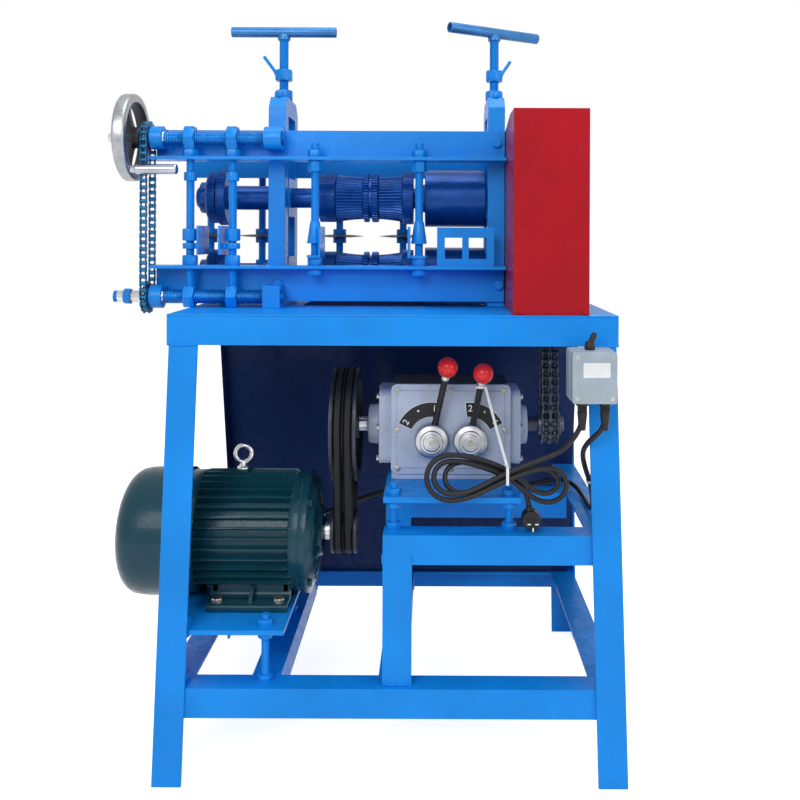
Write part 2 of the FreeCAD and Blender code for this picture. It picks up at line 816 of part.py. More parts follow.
# Gearbox
node("gearbox_fasteners", *studs("Gear", gear_studs, s.stand_top, s.gear_plate_top, s.gear_plate_thick),
     *[rod(f"CoverScrew{index}", "Y", s.gear_front - 3, s.gear_front, x, z, 4.5)
       for index, (x, z) in enumerate((
           (s.gear_left + 12, s.gear_top - 12), (s.gear_right - 12, s.gear_top - 12),
           (s.gear_left + 12, s.gear_bottom + 12), (s.gear_right - 12, s.gear_bottom + 12),
           (s.gear_left + 111, s.gear_top - 12), (s.gear_left + 111, s.gear_bottom + 12),
           (s.gear_left + 12, s.gear_bottom + 83), (s.gear_right - 12, s.gear_bottom + 83)))])

lever_holes = [(s.lever_left, s.lever_height), (s.lever_right, s.lever_height)]
case_front = s.gear_front + s.gear_cover
case_outer = block("CaseOuter", s.gear_left, s.gear_right, case_front, s.gear_rear,
                   s.gear_bottom, s.gear_top)
case_inner = block("CaseInner", s.gear_left + s.gear_wall, s.gear_right - s.gear_wall,
                   case_front - 1, s.gear_rear - s.gear_wall, s.gear_bottom + s.gear_wall,
                   s.gear_top - s.gear_wall)
case_foot = block("CaseFoot", s.gear_left, s.gear_right, s.gear_front + 4, s.gear_rear,
                  s.gear_plate_top, s.gear_bottom)
gear_bore = s.gear_shaft + 0.4
side_flanges = [
    block("LeftCap", s.gear_left - 23, s.gear_left, s.gear_back - 66, s.gear_back + 53,
          s.gear_bottom + 13, s.gear_top - 14),
    block("RightCap", s.gear_right, s.gear_right + 20, s.gear_back - 66, s.gear_back + 53,
          s.gear_bottom + 13, s.gear_top - 14),
    rod("LeftBoss", "X", s.gear_left - 46, s.gear_left - 23, s.gear_back, s.gear_height, s.boss_radius),
    rod("RightBoss", "X", s.gear_right + 20, s.gear_right + 36, s.gear_back, s.gear_height, s.boss_radius),
]
shaft_bore = rod("CaseShaftBore", "X", s.gear_left - 60, s.gear_right + 60, s.gear_back,
                 s.gear_height, gear_bore)
node("gearbox_case", cut("CaseBody", fuse("CaseSolid", case_outer, case_foot, *side_flanges),
                         case_inner, shaft_bore))

cover_body = body("CoverPlate")
cover_sketch = sketch(cover_body, "CoverOutline", "XZ")
outline(cover_sketch, [(s.gear_left, s.gear_bottom), (s.gear_right, s.gear_bottom),
                       (s.gear_right, s.gear_top), (s.gear_left, s.gear_top)])
for x, z in lever_holes:
    ring(cover_sketch, x, z, s.lever_pin + 0.4)
cover_pad = pad(cover_body, "CoverPad", cover_sketch, s.gear_cover)
document.recompute()
corners = []
for index, edge in enumerate(cover_pad.Shape.Edges):
    box = edge.BoundBox
    if box.YLength > 1 and box.XLength < 0.1 and box.ZLength < 0.1:
        corners.append(f"Edge{index + 1}")
rounding = cover_body.newObject("PartDesign::Fillet", "CoverRounding")
rounding.Base = (cover_pad, corners)
rounding.Radius = 12
node("gearbox_cover", place(cover_body, 0, s.gear_front, 0))


def sector(name, x, z, start, end):
    """A dial plate: part of a ring from one angle to another, measured from straight up."""
    outer = document.addObject("Part::Cylinder", name + "Outer")
    give(outer, Radius=s.dial_outer, Height=2)
    outer.Angle = end - start
    turn = Rotation(Vector(1, 0, 0), 90).multiply(Rotation(Vector(0, 0, 1), 90 - end))
    place(outer, x, s.gear_front, z, turn)
    inner = rod(name + "Inner", "Y", s.gear_front - 3, s.gear_front + 1, x, z, s.dial_inner)
    return cut(name, outer, inner)


node("lever_dial_plates",
     sector("LeftDial", s.lever_left, s.lever_height, -66, 14),
     sector("RightDial", s.lever_right, s.lever_height, -8, 65))


# Belt drive
def closed_run(wheels, plane, offset=0):
    """A closed run round wheels, each as back, height, radius and turning way, in an upright plane."""
    ways = []
    count = len(wheels)
    for index in range(count):
        y0, z0, radius0, way0 = wheels[index]
        y1, z1, radius1, way1 = wheels[(index + 1) % count]
        radius0 -= way0 * offset
        radius1 -= way1 * offset
        far = math.dist((y0, z0), (y1, z1))
        angle = math.atan2(z1 - z0, y1 - y0) + math.asin((way0 * radius0 - way1 * radius1) / far)
        side = Vector(0, math.sin(angle), -math.cos(angle))
        start = Vector(plane, y0, z0) + side * (way0 * radius0)
        end = Vector(plane, y1, z1) + side * (way1 * radius1)
        ways.append((start, end))
    edges = []
    for index in range(count):
        y0, z0, radius0, way0 = wheels[index]
        radius0 -= way0 * offset
        centre = Vector(plane, y0, z0)
        enter = ways[index - 1][1]
        leave = ways[index][0]
        begin = math.atan2(enter.z - z0, enter.y - y0)
        sweep = (math.atan2(leave.z - z0, leave.y - y0) - begin) * way0 % (2 * math.pi) * way0
        middle = centre + Vector(0, math.cos(begin + sweep / 2), math.sin(begin + sweep / 2)) * radius0
        edges.append(Part.Arc(enter, middle, leave).toShape())
        edges.append(Part.LineSegment(*ways[index]).toShape())
    return Part.Wire(edges), ways


def solid(name, shape):
    """An object holding a shape made of computed curves."""
    item = document.addObject("Part::Feature", name)
    item.Shape = shape
    return item


belts = []
half = SIZES["belt_height"] / 2
for index, way in enumerate((-1, 1)):
    plane = (SIZES["pulley_left"] + SIZES["pulley_right"]) / 2 + SIZES["belt_gauge"] * way
    spine, ways = closed_run((
        (SIZES["gear_back"], s.gear_height.value, SIZES["big_pulley"] - half, 1),
        (SIZES["motor_back"], s.motor_height.value, SIZES["small_pulley"] - half, 1)), plane)
    start, end = ways[0]
    along_way = (end - start).normalize()
    out = Vector(0, along_way.z, -along_way.y)
    side = Vector(1, 0, 0)
    wide = SIZES["belt_top"]
    narrow = SIZES["belt_bottom"]
    line = Part.Wire([spine.Edges[1], spine.Edges[2], spine.Edges[3], spine.Edges[0]])
    section = [start + out * half - side * wide, start + out * half + side * wide,
               start - out * half + side * narrow, start - out * half - side * narrow]
    profile = Part.makePolygon(section + section[:1])
    belts.append(solid(f"Belt{index}", line.makePipeShell([profile], True, False)))
node("drive_belts", *belts)


def pulley_steps(rim, bore):
    """The section of a pulley with two belt grooves, from its left face."""
    middle = (s.pulley_left + s.pulley_right) / 2
    clear = 0.4
    points = [(s.pulley_left, bore), (s.pulley_left, rim)]
    for way in (-1, 1):
        centre = middle + s.belt_gauge * way
        points += [
            (centre - s.belt_top - clear, rim),
            (centre - s.belt_bottom - clear, rim - s.belt_height - clear),
            (centre + s.belt_bottom + clear, rim - s.belt_height - clear),
            (centre + s.belt_top + clear, rim),
        ]
    points += [(s.pulley_right, rim), (s.pulley_right, bore)]
    return points


node("input_pulley",
     turned("BigPulley", "X", s.gear_back, s.gear_height, pulley_steps(s.big_pulley, s.gear_shaft)),
     turned("InputShaft", "X", s.gear_back, s.gear_height, steps(
         (s.pulley_left - 6, s.pulley_left, 18),
         (s.pulley_left, s.gear_left + 60, s.gear_shaft))))
node("motor_rotor", turned("Rotor", "X", *shield_axis, steps(
    (s.motor_left + 22, s.motor_left + 60, 96),
    (s.motor_left + 60, s.motor_barrel_left + 15, s.motor_shaft),
    (s.motor_barrel_left + 15, s.motor_barrel_right - 15, s.motor_bore - 1),
    (s.motor_barrel_right - 15, s.pulley_left, s.motor_shaft),
    (s.pulley_left, s.pulley_right - 4, s.motor_shaft))),
     turned("MotorPulley", "X", *shield_axis, pulley_steps(s.small_pulley, s.motor_shaft)))


# Gear levers
def lever(label, x, tilt, length):
    """A gear lever at rest: hub, pin into the gearbox, rod and ball."""
    front = s.gear_front - 3
    up = (math.sin(math.radians(tilt)), math.cos(math.radians(tilt)))
    own = label.title().replace("_", "")
    pivot_x = number_of(x)
    height = s.lever_height.value
    hub_steps = [
        (s.gear_front - 40, 0), (s.gear_front - 40, 15), (s.gear_front - 36, 21), (s.gear_front - 31, 21),
        (s.gear_front - 28, s.lever_hub - 1), (front, s.lever_hub), (front, s.lever_pin),
        (s.gear_front + 12, s.lever_pin), (s.gear_front + 12, 0)]
    hub = turned(own + "Hub", "Y", x, s.lever_height, hub_steps)
    base = Vector(pivot_x + up[0] * 20, SIZES["gear_front"] - 15, height + up[1] * 20)
    tip = Vector(pivot_x + up[0] * length, SIZES["gear_front"] - 50, height + up[1] * length)
    stem = bar(own + "Rod", base, tip, s.lever_rod)
    knob = ball(own + "Ball", tip.x, tip.y, tip.z, s.ball_radius)
    return node(label, fuse(own + "Lever", hub, stem, knob))


lever("left_shift_lever", s.lever_left, 11.6, 141.6)
lever("right_shift_lever", s.lever_right, 9.7, 130)


# Head rails
def head_rail(label, start, points, slots, back, bottom):
    """Angle steel across the head with long slots in its flat flange."""
    own = label.title().replace("_", "")
    beam = extrusion(own + "Beam", "X", start, s.rail_right, points)
    tools = []
    for index, (left, right) in enumerate(slots):
        tools.append(block(f"{own}Slot{index}", left, right, back - s.slot_half_width,
                           back + s.slot_half_width, bottom - 3, bottom + 9))
        for end, x in enumerate((left, right)):
            tools.append(rod(f"{own}SlotEnd{index}{end}", "Z", bottom - 3, bottom + 9, x, back,
                             s.slot_half_width))
    return cut(own + "Rail", beam, *tools)


front_face = -s.frame_half_depth
front_edge = front_face - s.rail_flange
wall = s.rail_wall
upper_flange = s.lead_upper - s.lead_over_flange
lower_flange = s.lead_lower + s.flange_over_lower_lead
front_slots = ((-411, -275), (-196, 71))
rear_slots = ((-414, -285), (-196, 71))
node("front_upper_rail", head_rail("front_upper", s.rail_left, [
    (front_edge, upper_flange), (front_face, upper_flange), (front_face, upper_flange + s.rail_leg),
    (front_face - wall, upper_flange + s.rail_leg), (front_face - wall, upper_flange + wall),
    (front_edge, upper_flange + wall)], front_slots, s.lead_back, upper_flange))
node("front_lower_rail", head_rail("front_lower", s.rail_left, [
    (front_edge, lower_flange), (front_face - wall, lower_flange), (front_face - wall, lower_flange - 63),
    (front_face, lower_flange - 63), (front_face, lower_flange + wall), (front_edge, lower_flange + wall)],
    front_slots, s.lead_back, lower_flange))


def rear_points(top):
    """The outline of a rear rail: leg against the frames, flange on top to the back."""
    face = s.frame_half_depth
    edge = face + s.rail_leg
    return [
        (face, top),
        (face, top - s.rail_leg),
        (face + wall, top - s.rail_leg),
        (face + wall, top - wall),
        (edge, top - wall),
        (edge, top),
    ]


rear_upper = s.upper_axis + 105
rear_lower = s.lower_axis + 15
node("rear_rails",
     head_rail("rear_upper", s.rear_rail_left, rear_points(rear_upper), rear_slots, s.splitter_back,
               rear_upper - wall),
     head_rail("rear_lower", s.rear_rail_left, rear_points(rear_lower), rear_slots, s.splitter_back,
               rear_lower - wall))

# Press frames
press_middles = (s.frame_left + s.frame_thick / 2, s.frame_right + s.frame_thick / 2)
depth = s.frame_half_depth
window = s.frame_window
frame_floor = s.lower_axis - s.block_half
bridge = s.frame_top - s.frame_bridge
arches = []
for side_name, left, middle in zip(("Left", "Right"), (s.frame_left, s.frame_right), press_middles):
    owner = body(side_name + "Arch")
    drawn = sketch(owner, side_name + "ArchOutline", "YZ")
    outline(drawn, [(-depth, s.table_height), (depth, s.table_height), (depth, s.frame_top - 22),
                    (depth - 22, s.frame_top), (22 - depth, s.frame_top), (-depth, s.frame_top - 22)])
    outline(drawn, [(-window, frame_floor), (window, frame_floor), (window, bridge), (-window, bridge)])
    pad(owner, side_name + "ArchPad", drawn, s.frame_thick)
    place(owner, left, 0, 0)
    arches.append(cut(side_name + "Frame", owner,
                      rod(side_name + "ScrewHole", "Z", bridge - 2, s.frame_top + 2, middle, 0,
                          s.press_radius + 0.3)))
node("press_frames", *arches)

# Bearings of the upper and lower shafts
guide_gap = 0.3
block_lip = 1.5
shaft_clear = s.shaft_radius + 0.3
seats = []
sliders = []
for side_name, left in (("Left", s.frame_left), ("Right", s.frame_right)):
    for level, height, kept in (("Lower", s.lower_axis, seats), ("Upper", s.upper_axis, sliders)):
        solid_block = block(f"{level}{side_name}Block", left - block_lip, left + s.frame_thick + block_lip,
                            guide_gap - window, window - guide_gap,
                            height - s.block_half, height + s.block_half)
        bore = rod(f"{level}{side_name}Bore", "X", left - 10, left + s.frame_thick + 10, 0, height,
                   shaft_clear)
        kept.append(cut(f"{level}{side_name}Bearing", solid_block, bore))
node("pressure_blocks", *sliders)

lead_clear = s.lead_radius + 0.3
lead_back = s.lead_back
bearing_left = s.rail_left
bearing_right = s.rail_left + 23
frame_end = s.frame_left + s.frame_thick
for name, left, right, height in (
    ("UpperLeft", bearing_left, bearing_right, s.lead_upper),
    ("LowerLeft", bearing_left, bearing_right, s.lead_lower),
    ("UpperRight", s.frame_left, frame_end, s.lead_upper),
):
    ring_part = rod(name + "Ring", "X", left, right, lead_back, height, s.lead_collar)
    rest = block(name + "Rest", left, right, lead_back, front_face - wall,
                 height - (0.5 if name == "LowerLeft" else 20), height + 18)
    bore = rod(name + "LeadBore", "X", left - 2, right + 2, lead_back, height, lead_clear)
    seats.append(cut(name + "LeadBearing", fuse(name + "LeadSolid", ring_part, rest), bore))
stand_block = block("LowerRightRest", s.frame_left, frame_end, lead_back - s.lead_collar,
                    lead_back + s.lead_collar, s.table_height, s.lead_lower + s.lead_collar)
stand_bore = rod("LowerRightBore", "X", s.frame_left - 2, frame_end + 2, lead_back, s.lead_lower, lead_clear)
seats.append(cut("LowerRightLeadBearing", stand_block, stand_bore))
node("shaft_bearings", *seats)

# Fasteners of the head
fixings = []
for side_name, middle in zip(("Left", "Right"), press_middles):
    fixings.append(nut(side_name + "FixedNut", "Z", s.frame_top, s.frame_top + s.press_nut_height, middle,
                       0, s.press_nut, s.press_radius + 0.3, 30))
    for index, back in enumerate((-50, 50)):
        fixings.append(prism(f"{side_name}TopBolt{index}", "Z", s.frame_top, s.frame_top + 10, middle,
                             back, 19))
    fixings.append(prism(side_name + "RailBolt", "Y", front_face - wall - 8, front_face - wall,
                         middle + 4.5, lower_flange - 30, 17))
    for level, height in enumerate((rear_upper - 35, rear_lower - 35)):
        fixings.append(prism(f"{side_name}RearBolt{level}", "Y", depth + wall, depth + wall + 8, middle,
                             height, 17))
fixings.append(prism("RightUpperBolt", "Y", front_face - wall - 8, front_face - wall, press_middles[1],
                     upper_flange + 38, 17))
node("head_fasteners", *fixings)


# Rollers on their shafts
def roller_points(bore):
    """The section of the waisted feed roller with its two toothed rings, and the fine ring beside it."""
    middle = -57
    return [
        (s.collar_left, bore), (s.collar_left, s.collar_radius), (s.roller_left, s.collar_radius),
        (s.roller_left, s.roller_end), (s.roller_left + 24, s.roller_waist + 3), (-70, s.roller_waist),
        (-70, s.toothed_ring), (-59, s.toothed_ring), (-59, s.roller_waist), (-54, s.roller_waist),
        (-54, s.toothed_ring), (-40.4, s.toothed_ring), (-40.4, s.roller_waist),
        (s.roller_right - 22, s.roller_waist + 3), (s.roller_right - 1, s.roller_end),
        (s.roller_right - 1, s.fine_ring), (s.fine_ring_right, s.fine_ring), (s.fine_ring_right, bore)]


def drum_points(bore):
    """The section of the smooth drum with its hub."""
    return [(s.drum_left - 20, bore), (s.drum_left - 20, s.disc_hub - 3), (s.drum_left, s.disc_hub - 3),
            (s.drum_left, s.drum_radius), (s.drum_right, s.drum_radius), (s.drum_right, bore)]


def disc_points(bore):
    """The section of the two cutter discs with their hub and the sleeve beside them."""
    return [(s.disc_hub_left, bore), (s.disc_hub_left, s.disc_hub), (s.slim_disc_left, s.disc_hub),
            (s.slim_disc_left, s.slim_disc - 6), (s.slim_disc_left + 5, s.slim_disc),
            (s.slim_disc_right, s.slim_disc), (s.slim_disc_right, s.disc_hub),
            (s.wide_disc_left, s.disc_hub), (s.wide_disc_left, s.wide_disc),
            (s.wide_disc_right, s.wide_disc), (s.wide_disc_right, s.sleeve_radius + 2),
            (s.frame_left - block_lip - 0.5, s.sleeve_radius + 2), (s.frame_left - block_lip - 0.5, bore)]


snug = s.shaft_radius + 0.1
node("upper_feed_roller", turned("UpperRoller", "X", 0, s.upper_axis, roller_points(snug)))
node("upper_drum", turned("UpperDrum", "X", 0, s.upper_axis, drum_points(snug)))
node("upper_cutter_discs", turned("UpperDiscs", "X", 0, s.upper_axis, disc_points(snug)))
node("lower_rollers",
     turned("LowerRoller", "X", 0, s.lower_axis, roller_points(snug)),
     turned("LowerDrum", "X", 0, s.lower_axis, drum_points(snug)),
     turned("LowerDiscs", "X", 0, s.lower_axis, disc_points(snug)))


def sprocket(name, axis_back, height, planes, width, pitch, teeth, hub, bore, left, right):
    """Toothed rings at the chain's rows on one hub."""
    pitch_radius = pitch / 2 / math.sin(math.pi / teeth)
    roller = pitch * 0.32
    owner = body(name)
    drawn = sketch(owner, name + "Round", "YZ")
    ring(drawn, 0, 0, hub)
    ring(drawn, 0, 0, bore)
    pad(owner, name + "Hub", drawn, right - left)
    place(owner, left, axis_back, height)
    rings = [owner]
    for row, middle in enumerate(planes):
        wheel = rod(f"{name}Ring{row}", "X", middle - width / 2, middle + width / 2, axis_back, height,
                    pitch_radius + pitch * 0.17)
        gaps = []
        for index in range(teeth):
            angle = 2 * math.pi * index / teeth
            gaps.append(rod(f"{name}Gap{row}x{index}", "X", middle - width, middle + width,
                            axis_back + pitch_radius * math.cos(angle),
                            height + pitch_radius * math.sin(angle), roller))
        core = rod(f"{name}Core{row}", "X", middle - width, middle + width, axis_back, height, bore)
        rings.append(cut(f"{name}Teeth{row}", wheel, core, *gaps))
    return fuse(name + "Sprocket", *rings)


drive_rows = (s.drive_left + 17.2, s.drive_left + 33.8)
hub_left = s.drive_left + 4
node("upper_shaft",
     rod("UpperRound", "X", s.shaft_left, s.shaft_right, 0, s.upper_axis, s.shaft_radius),
     sprocket("UpperDrive", 0, s.upper_axis, drive_rows, 9, SIZES["drive_pitch"], 18, 32, snug,
              hub_left, s.shaft_right - 4))
node("lower_shaft",
     rod("LowerRound", "X", s.shaft_left, s.shaft_right, 0, s.lower_axis, s.shaft_radius),
     sprocket("LowerDrive", 0, s.lower_axis, drive_rows, 9, SIZES["drive_pitch"], 18, 32, snug,
              hub_left, s.shaft_right - 4))
node("output_shaft",
     rod("OutputRound", "X", s.gear_right - 60, s.shaft_right + 3, s.gear_back, s.gear_height, s.gear_shaft),
     sprocket("OutputDrive", s.gear_back, s.gear_height, drive_rows, 9, SIZES["drive_pitch"], 12, 22,
              s.gear_shaft + 0.1, hub_left, s.shaft_right - 4))


def chain(name, wheels, pitch, half_height, bands, roller):
    """A closed chain: plate rows as bands, and rollers across its straight runs, clear of the sprockets."""
    free_ends = 3.6
    shapes = []
    for left, right in bands:
        faces = [Part.Face(closed_run(wheels, left, offset)[0]) for offset in (-half_height, half_height)]
        faces.sort(key=lambda face: -face.Area)
        shapes.append(faces[0].cut(faces[1]).extrude(Vector(right - left, 0, 0)))
    left = bands[0][0]
    wide = bands[-1][1] - left
    for start, end in closed_run(wheels, left)[1]:
        run = end - start
        count = int((run.Length - free_ends * pitch) // pitch)
        first = start + run * ((run.Length - count * pitch) / 2 / run.Length)
        for index in range(count + 1):
            spot_now = first + run * (index * pitch / run.Length)
            shapes.append(Part.makeCylinder(roller, wide, spot_now, Vector(1, 0, 0)))
    whole = shapes[0].fuse(shapes[1:])
    return solid(name, whole)


def pitch_radius_of(pitch, teeth):
    """The radius of the pitch circle of a sprocket."""
    return pitch / 2 / math.sin(math.pi / teeth)


small = pitch_radius_of(SIZES["drive_pitch"], 12)
large = pitch_radius_of(SIZES["drive_pitch"], 18)
first_row, second_row = (row.value for row in drive_rows)
node("roller_drive_chain", chain("DriveChain", (
    (SIZES["gear_back"], s.gear_height.value, small, -1),
    (0, s.upper_axis.value, large, -1),
    (0, s.lower_axis.value, large, 1)), SIZES["drive_pitch"], 7.1,
    ((first_row - 7.8, first_row - 4.8), (first_row + 4.8, second_row - 4.8),
     (second_row + 4.8, second_row + 7.8)), 4.8))
lead_wheel = pitch_radius_of(SIZES["lead_pitch"], 13)
lead_plane = SIZES["lead_chain"]
node("handwheel_chain", chain("LeadChain", (
    (SIZES["lead_back"], s.lead_lower.value, lead_wheel, 1),
    (SIZES["lead_back"], s.lead_upper.value, lead_wheel, 1)), SIZES["lead_pitch"], 5.7,
    ((lead_plane - 5.9, lead_plane - 3.9), (lead_plane + 3.9, lead_plane + 5.9)), 4))

# Lead screws with their sprockets
thread_right = s.frame_left + s.frame_thick + 4
for label, name, height, left in (
    ("upper_lead_screw", "UpperLead", s.lead_upper, s.lead_upper_left),
    ("lower_lead_screw", "LowerLead", s.lead_lower, s.lead_lower_left),
):
    thread = turned(name + "Thread", "X", lead_back, height, steps(
        (left, left + 8, 8.5),
        (left + 8, s.lead_chain + 5, 11),
        (s.lead_chain + 5, thread_right, s.lead_radius)))
    wheel = sprocket(name + "Chain", lead_back, height, (s.lead_chain,), 7, SIZES["lead_pitch"], 13, 18,
                     10.9, s.lead_chain - 8, s.lead_chain + 4.8)
    node(label, fuse(name + "Screw", thread, wheel))


# Press screws, their cross handles and lock nuts
for side_name, middle, swing in (("left", press_middles[0], 0), ("right", press_middles[1], 30)):
    own = side_name.title()
    screw = rod(own + "PressThread", "Z", s.upper_axis + s.block_half, s.handle_height + 4, middle, 0,
                s.press_radius)
    head = rod(own + "PressHead", "Z", s.handle_height - 16, s.handle_height - 6, middle, 0, 12.5)
    grip = document.addObject("Part::Cylinder", own + "HandleTube")
    give(grip, Radius=s.handle_radius, Height=s.handle_half * 2)
    bore = document.addObject("Part::Cylinder", own + "HandleBore")
    give(bore, Radius=s.handle_radius - 2.5, Height=s.handle_half * 2 + 2)
    turn = Rotation(Vector(0, 0, 1), swing).multiply(along("X"))
    way = Vector(math.cos(math.radians(swing)), math.sin(math.radians(swing)), 0)
    place(grip, middle - s.handle_half * way.x, -s.handle_half * way.y, s.handle_height, turn)
    place(bore, middle - (s.handle_half + 1) * way.x, -(s.handle_half + 1) * way.y, s.handle_height, turn)
    node(f"{side_name}_press_screw", fuse(own + "PressScrew", cut(own + "Handle", grip, bore), screw, head))
    lock = nut(own + "LockHexagon", "Z", s.lock_nut_bottom, s.lock_nut_bottom + s.lock_nut_height, middle, 0,
               s.lock_nut, s.press_radius + 0.2, 0)
    top_z = s.lock_nut_bottom.value + 11
    if side_name == "left":
        lever_rod = bar(own + "LockRod", Vector(number_of(middle) - 13, -4, top_z + 2),
                        Vector(number_of(middle) - 38, -14, top_z + 36), 3.3)
        node(f"{side_name}_lock_nut", fuse(own + "LockNut", lock, lever_rod))
    else:
        lever_rod = bar(own + "LockRod", Vector(number_of(middle) + 13, 4, top_z + 2),
                        Vector(number_of(middle) + 34, 22, top_z + 34), 3.3)
        node(f"{side_name}_lock_nut", fuse(own + "LockNut", lock, lever_rod))


# Guides moved by the lead screws
def column(name, x, y, bottom, top, extras):
    """A threaded column with its nuts and collars, as kind, bottom, top and size."""
    shaft = rod(name + "Column", "Z", bottom, top, x, y, s.column_radius)
    shapes = [shaft]
    for index, (kind, low_z, high_z, size) in enumerate(extras):
        own = f"{name}Piece{index}"
        if kind == "nut":
            shapes.append(prism(own, "Z", low_z, high_z, x, y, size, 30))
        elif kind == "taper":
            shapes.append(taper(own, "Z", low_z, high_z, x, y, size, s.column_radius + 1))
        else:
            shapes.append(rod(own, "Z", low_z, high_z, x, y, size))
    return shapes


upper_top = upper_flange + wall
middle = s.splitter_height
lower_top = lower_flange + wall
for label, x, plate_way in (("left_guide", s.outer_column, 1), ("right_guide", s.inner_column, -1)):
    own = label.title().replace("_", "")
    shapes = column(own, x, s.lead_back, s.lead_lower + 16, s.lead_upper - 18, (
        ("nut", upper_top + 0.2, upper_top + 14, 26),
        ("collar", upper_flange - 39, upper_flange - 23, 12),
        ("nut", middle - 10, middle + 13, 25),
        ("collar", middle - 25, middle - 14, 14),
        ("nut", lower_top + 0.2, lower_top + 19, 26)))
    for level, height, half in (("Upper", s.lead_upper, s.lead_nut_upper),
                                ("Lower", s.lead_lower, s.lead_nut_lower)):
        bore = rod(f"{own}{level}Thread", "X", x - 20, x + 20, s.lead_back, height, lead_clear)
        hexagon = prism(f"{own}{level}Hexagon", "X", x - s.lead_nut_half, x + s.lead_nut_half,
                        s.lead_back, height, half * 2, 30)
        shapes.append(cut(f"{own}{level}Nut", hexagon, bore))
    near, far = ((x, x + 18) if plate_way > 0 else (x - 18, x))
    shapes.append(block(own + "Arm", near, far, s.lead_back - 8, s.lead_back + 8, middle - 25, middle - 14))
    face = (x + 18, x + 22) if plate_way > 0 else (x - 22, x - 18)
    shapes.append(block(own + "Plate", *face, s.lead_back - 25, s.lead_back + 53, middle - 36,
                        middle + 18.5))
    node(label, fuse(own + "Whole", *shapes))

# Fixed columns and guide plates
pieces = []
plates = []
for name, x, plate_way in (("FixedLeft", s.left_column, 1), ("FixedRight", s.right_column, -1)):
    pieces += [fuse(name + "Post", *column(name, x, s.lead_back, lower_flange - 14, upper_top + 27, (
        ("nut", upper_top, upper_top + 13, 25),
        ("nut", upper_flange - 21, upper_flange, 25),
        ("taper", middle - 14, middle + 28, 15),
        ("nut", lower_top, lower_top + 15, 25),
        ("nut", lower_flange - 12, lower_flange, 25))))]
    side_x = (x + 9, x + 13) if plate_way > 0 else (x - 21, x - 17)
    foot_x = (x - 13, side_x[1]) if plate_way > 0 else (side_x[0], x + 13)
    upright = block(name + "GuideSide", *side_x, s.lead_back - 25, s.lead_back + 50, lower_top + 15,
                    middle + 18)
    foot = block(name + "GuideFoot", *foot_x, s.lead_back - 17, s.lead_back + 17, lower_top + 15,
                 lower_top + 20)
    hole = rod(name + "GuideHole", "Z", lower_top + 11, lower_top + 26, x, s.lead_back,
               s.column_radius + 0.1)
    hole_top = taper(name + "GuideSink", "Z", middle - 14, middle + 28, x, s.lead_back, 15.2,
                     s.column_radius + 1.2)
    plates.append(cut(name + "Guide", fuse(name + "GuideBend", upright, foot), hole, hole_top))

splitters = []
half = s.splitter_thick / 2
for index, x in enumerate((s.splitter_first, s.splitter_second, s.splitter_third, s.splitter_fourth)):
    own = f"Splitter{index}"
    pieces.append(fuse(own + "Post", *column(own, x, s.splitter_back, rear_lower - 22, rear_upper + 22, (
        ("nut", rear_upper, rear_upper + 13, 25),
        ("nut", rear_upper - wall - 13, rear_upper - wall, 25),
        ("collar", middle + half, middle + half + 12, 14),
        ("collar", middle - half - 12, middle - half, 14),
        ("nut", rear_lower, rear_lower + 13, 25),
        ("nut", rear_lower - wall - 13, rear_lower - wall, 25)))))
    bore = s.column_radius + 0.1
    knife = turned(own + "Knife", "Z", x, s.splitter_back, [
        (middle - half, bore), (middle - half, s.splitter_radius - 12), (middle - 0.4, s.splitter_radius),
        (middle + 0.4, s.splitter_radius), (middle + half, s.splitter_radius - 12), (middle + half, bore)])
    splitters.append(knife)
node("guide_columns", *pieces)
node("slitting_discs", *splitters)

window_foot = lower_top + 6
window_body = body("WindowGuide")
window_sketch = sketch(window_body, "WindowOutline", "XZ")
outline(window_sketch, [(s.window_left, window_foot), (s.window_right, window_foot),
                        (s.window_right, middle + 17), (s.window_left, middle + 17)])
for left, right in ((s.window_left + 14.7, s.window_left + 47.2),
                    (s.window_right - 47.4, s.window_right - 13.8)):
    outline(window_sketch, [(left, window_foot + 8), (right, window_foot + 8),
                            (right, middle - 2.4), (left, middle - 2.4)])
pad(window_body, "WindowPad", window_sketch, 4)
place(window_body, 0, s.lead_back - 7, 0)
window_flange = block("WindowFoot", s.window_left, s.window_right, s.lead_back - 7,
                      front_face - wall - 3, lower_top, window_foot)
plates.append(fuse("WindowPlate", window_body, window_flange))
node("guide_plates", *plates)

# Cover over the drive chain
profile = [(s.cover_front, s.table_height), (s.cover_rear, s.table_height), (s.cover_rear, s.cover_rear_top),
           (s.cover_front + 80, s.cover_top), (s.cover_front, s.cover_top)]
skin = s.cover_wall
hollow = [(s.cover_front + skin, s.table_height - 1), (s.cover_rear - skin, s.table_height - 1),
          (s.cover_rear - skin, s.cover_rear_top - skin), (s.cover_front + 80, s.cover_top - skin),
          (s.cover_front + skin, s.cover_top - skin)]
hood = extrusion("Hood", "X", s.cover_left, s.cover_right, profile)
hood_hollow = extrusion("HoodHollow", "X", s.cover_left + skin, s.cover_right - skin, hollow)
hood_opening = block("HoodOpening", s.cover_left - 5, s.cover_left + 5, -66, 66,
                     s.table_height - 1, s.upper_axis + 69)
node("chain_cover", cut("HoodSheet", hood, hood_hollow, hood_opening))

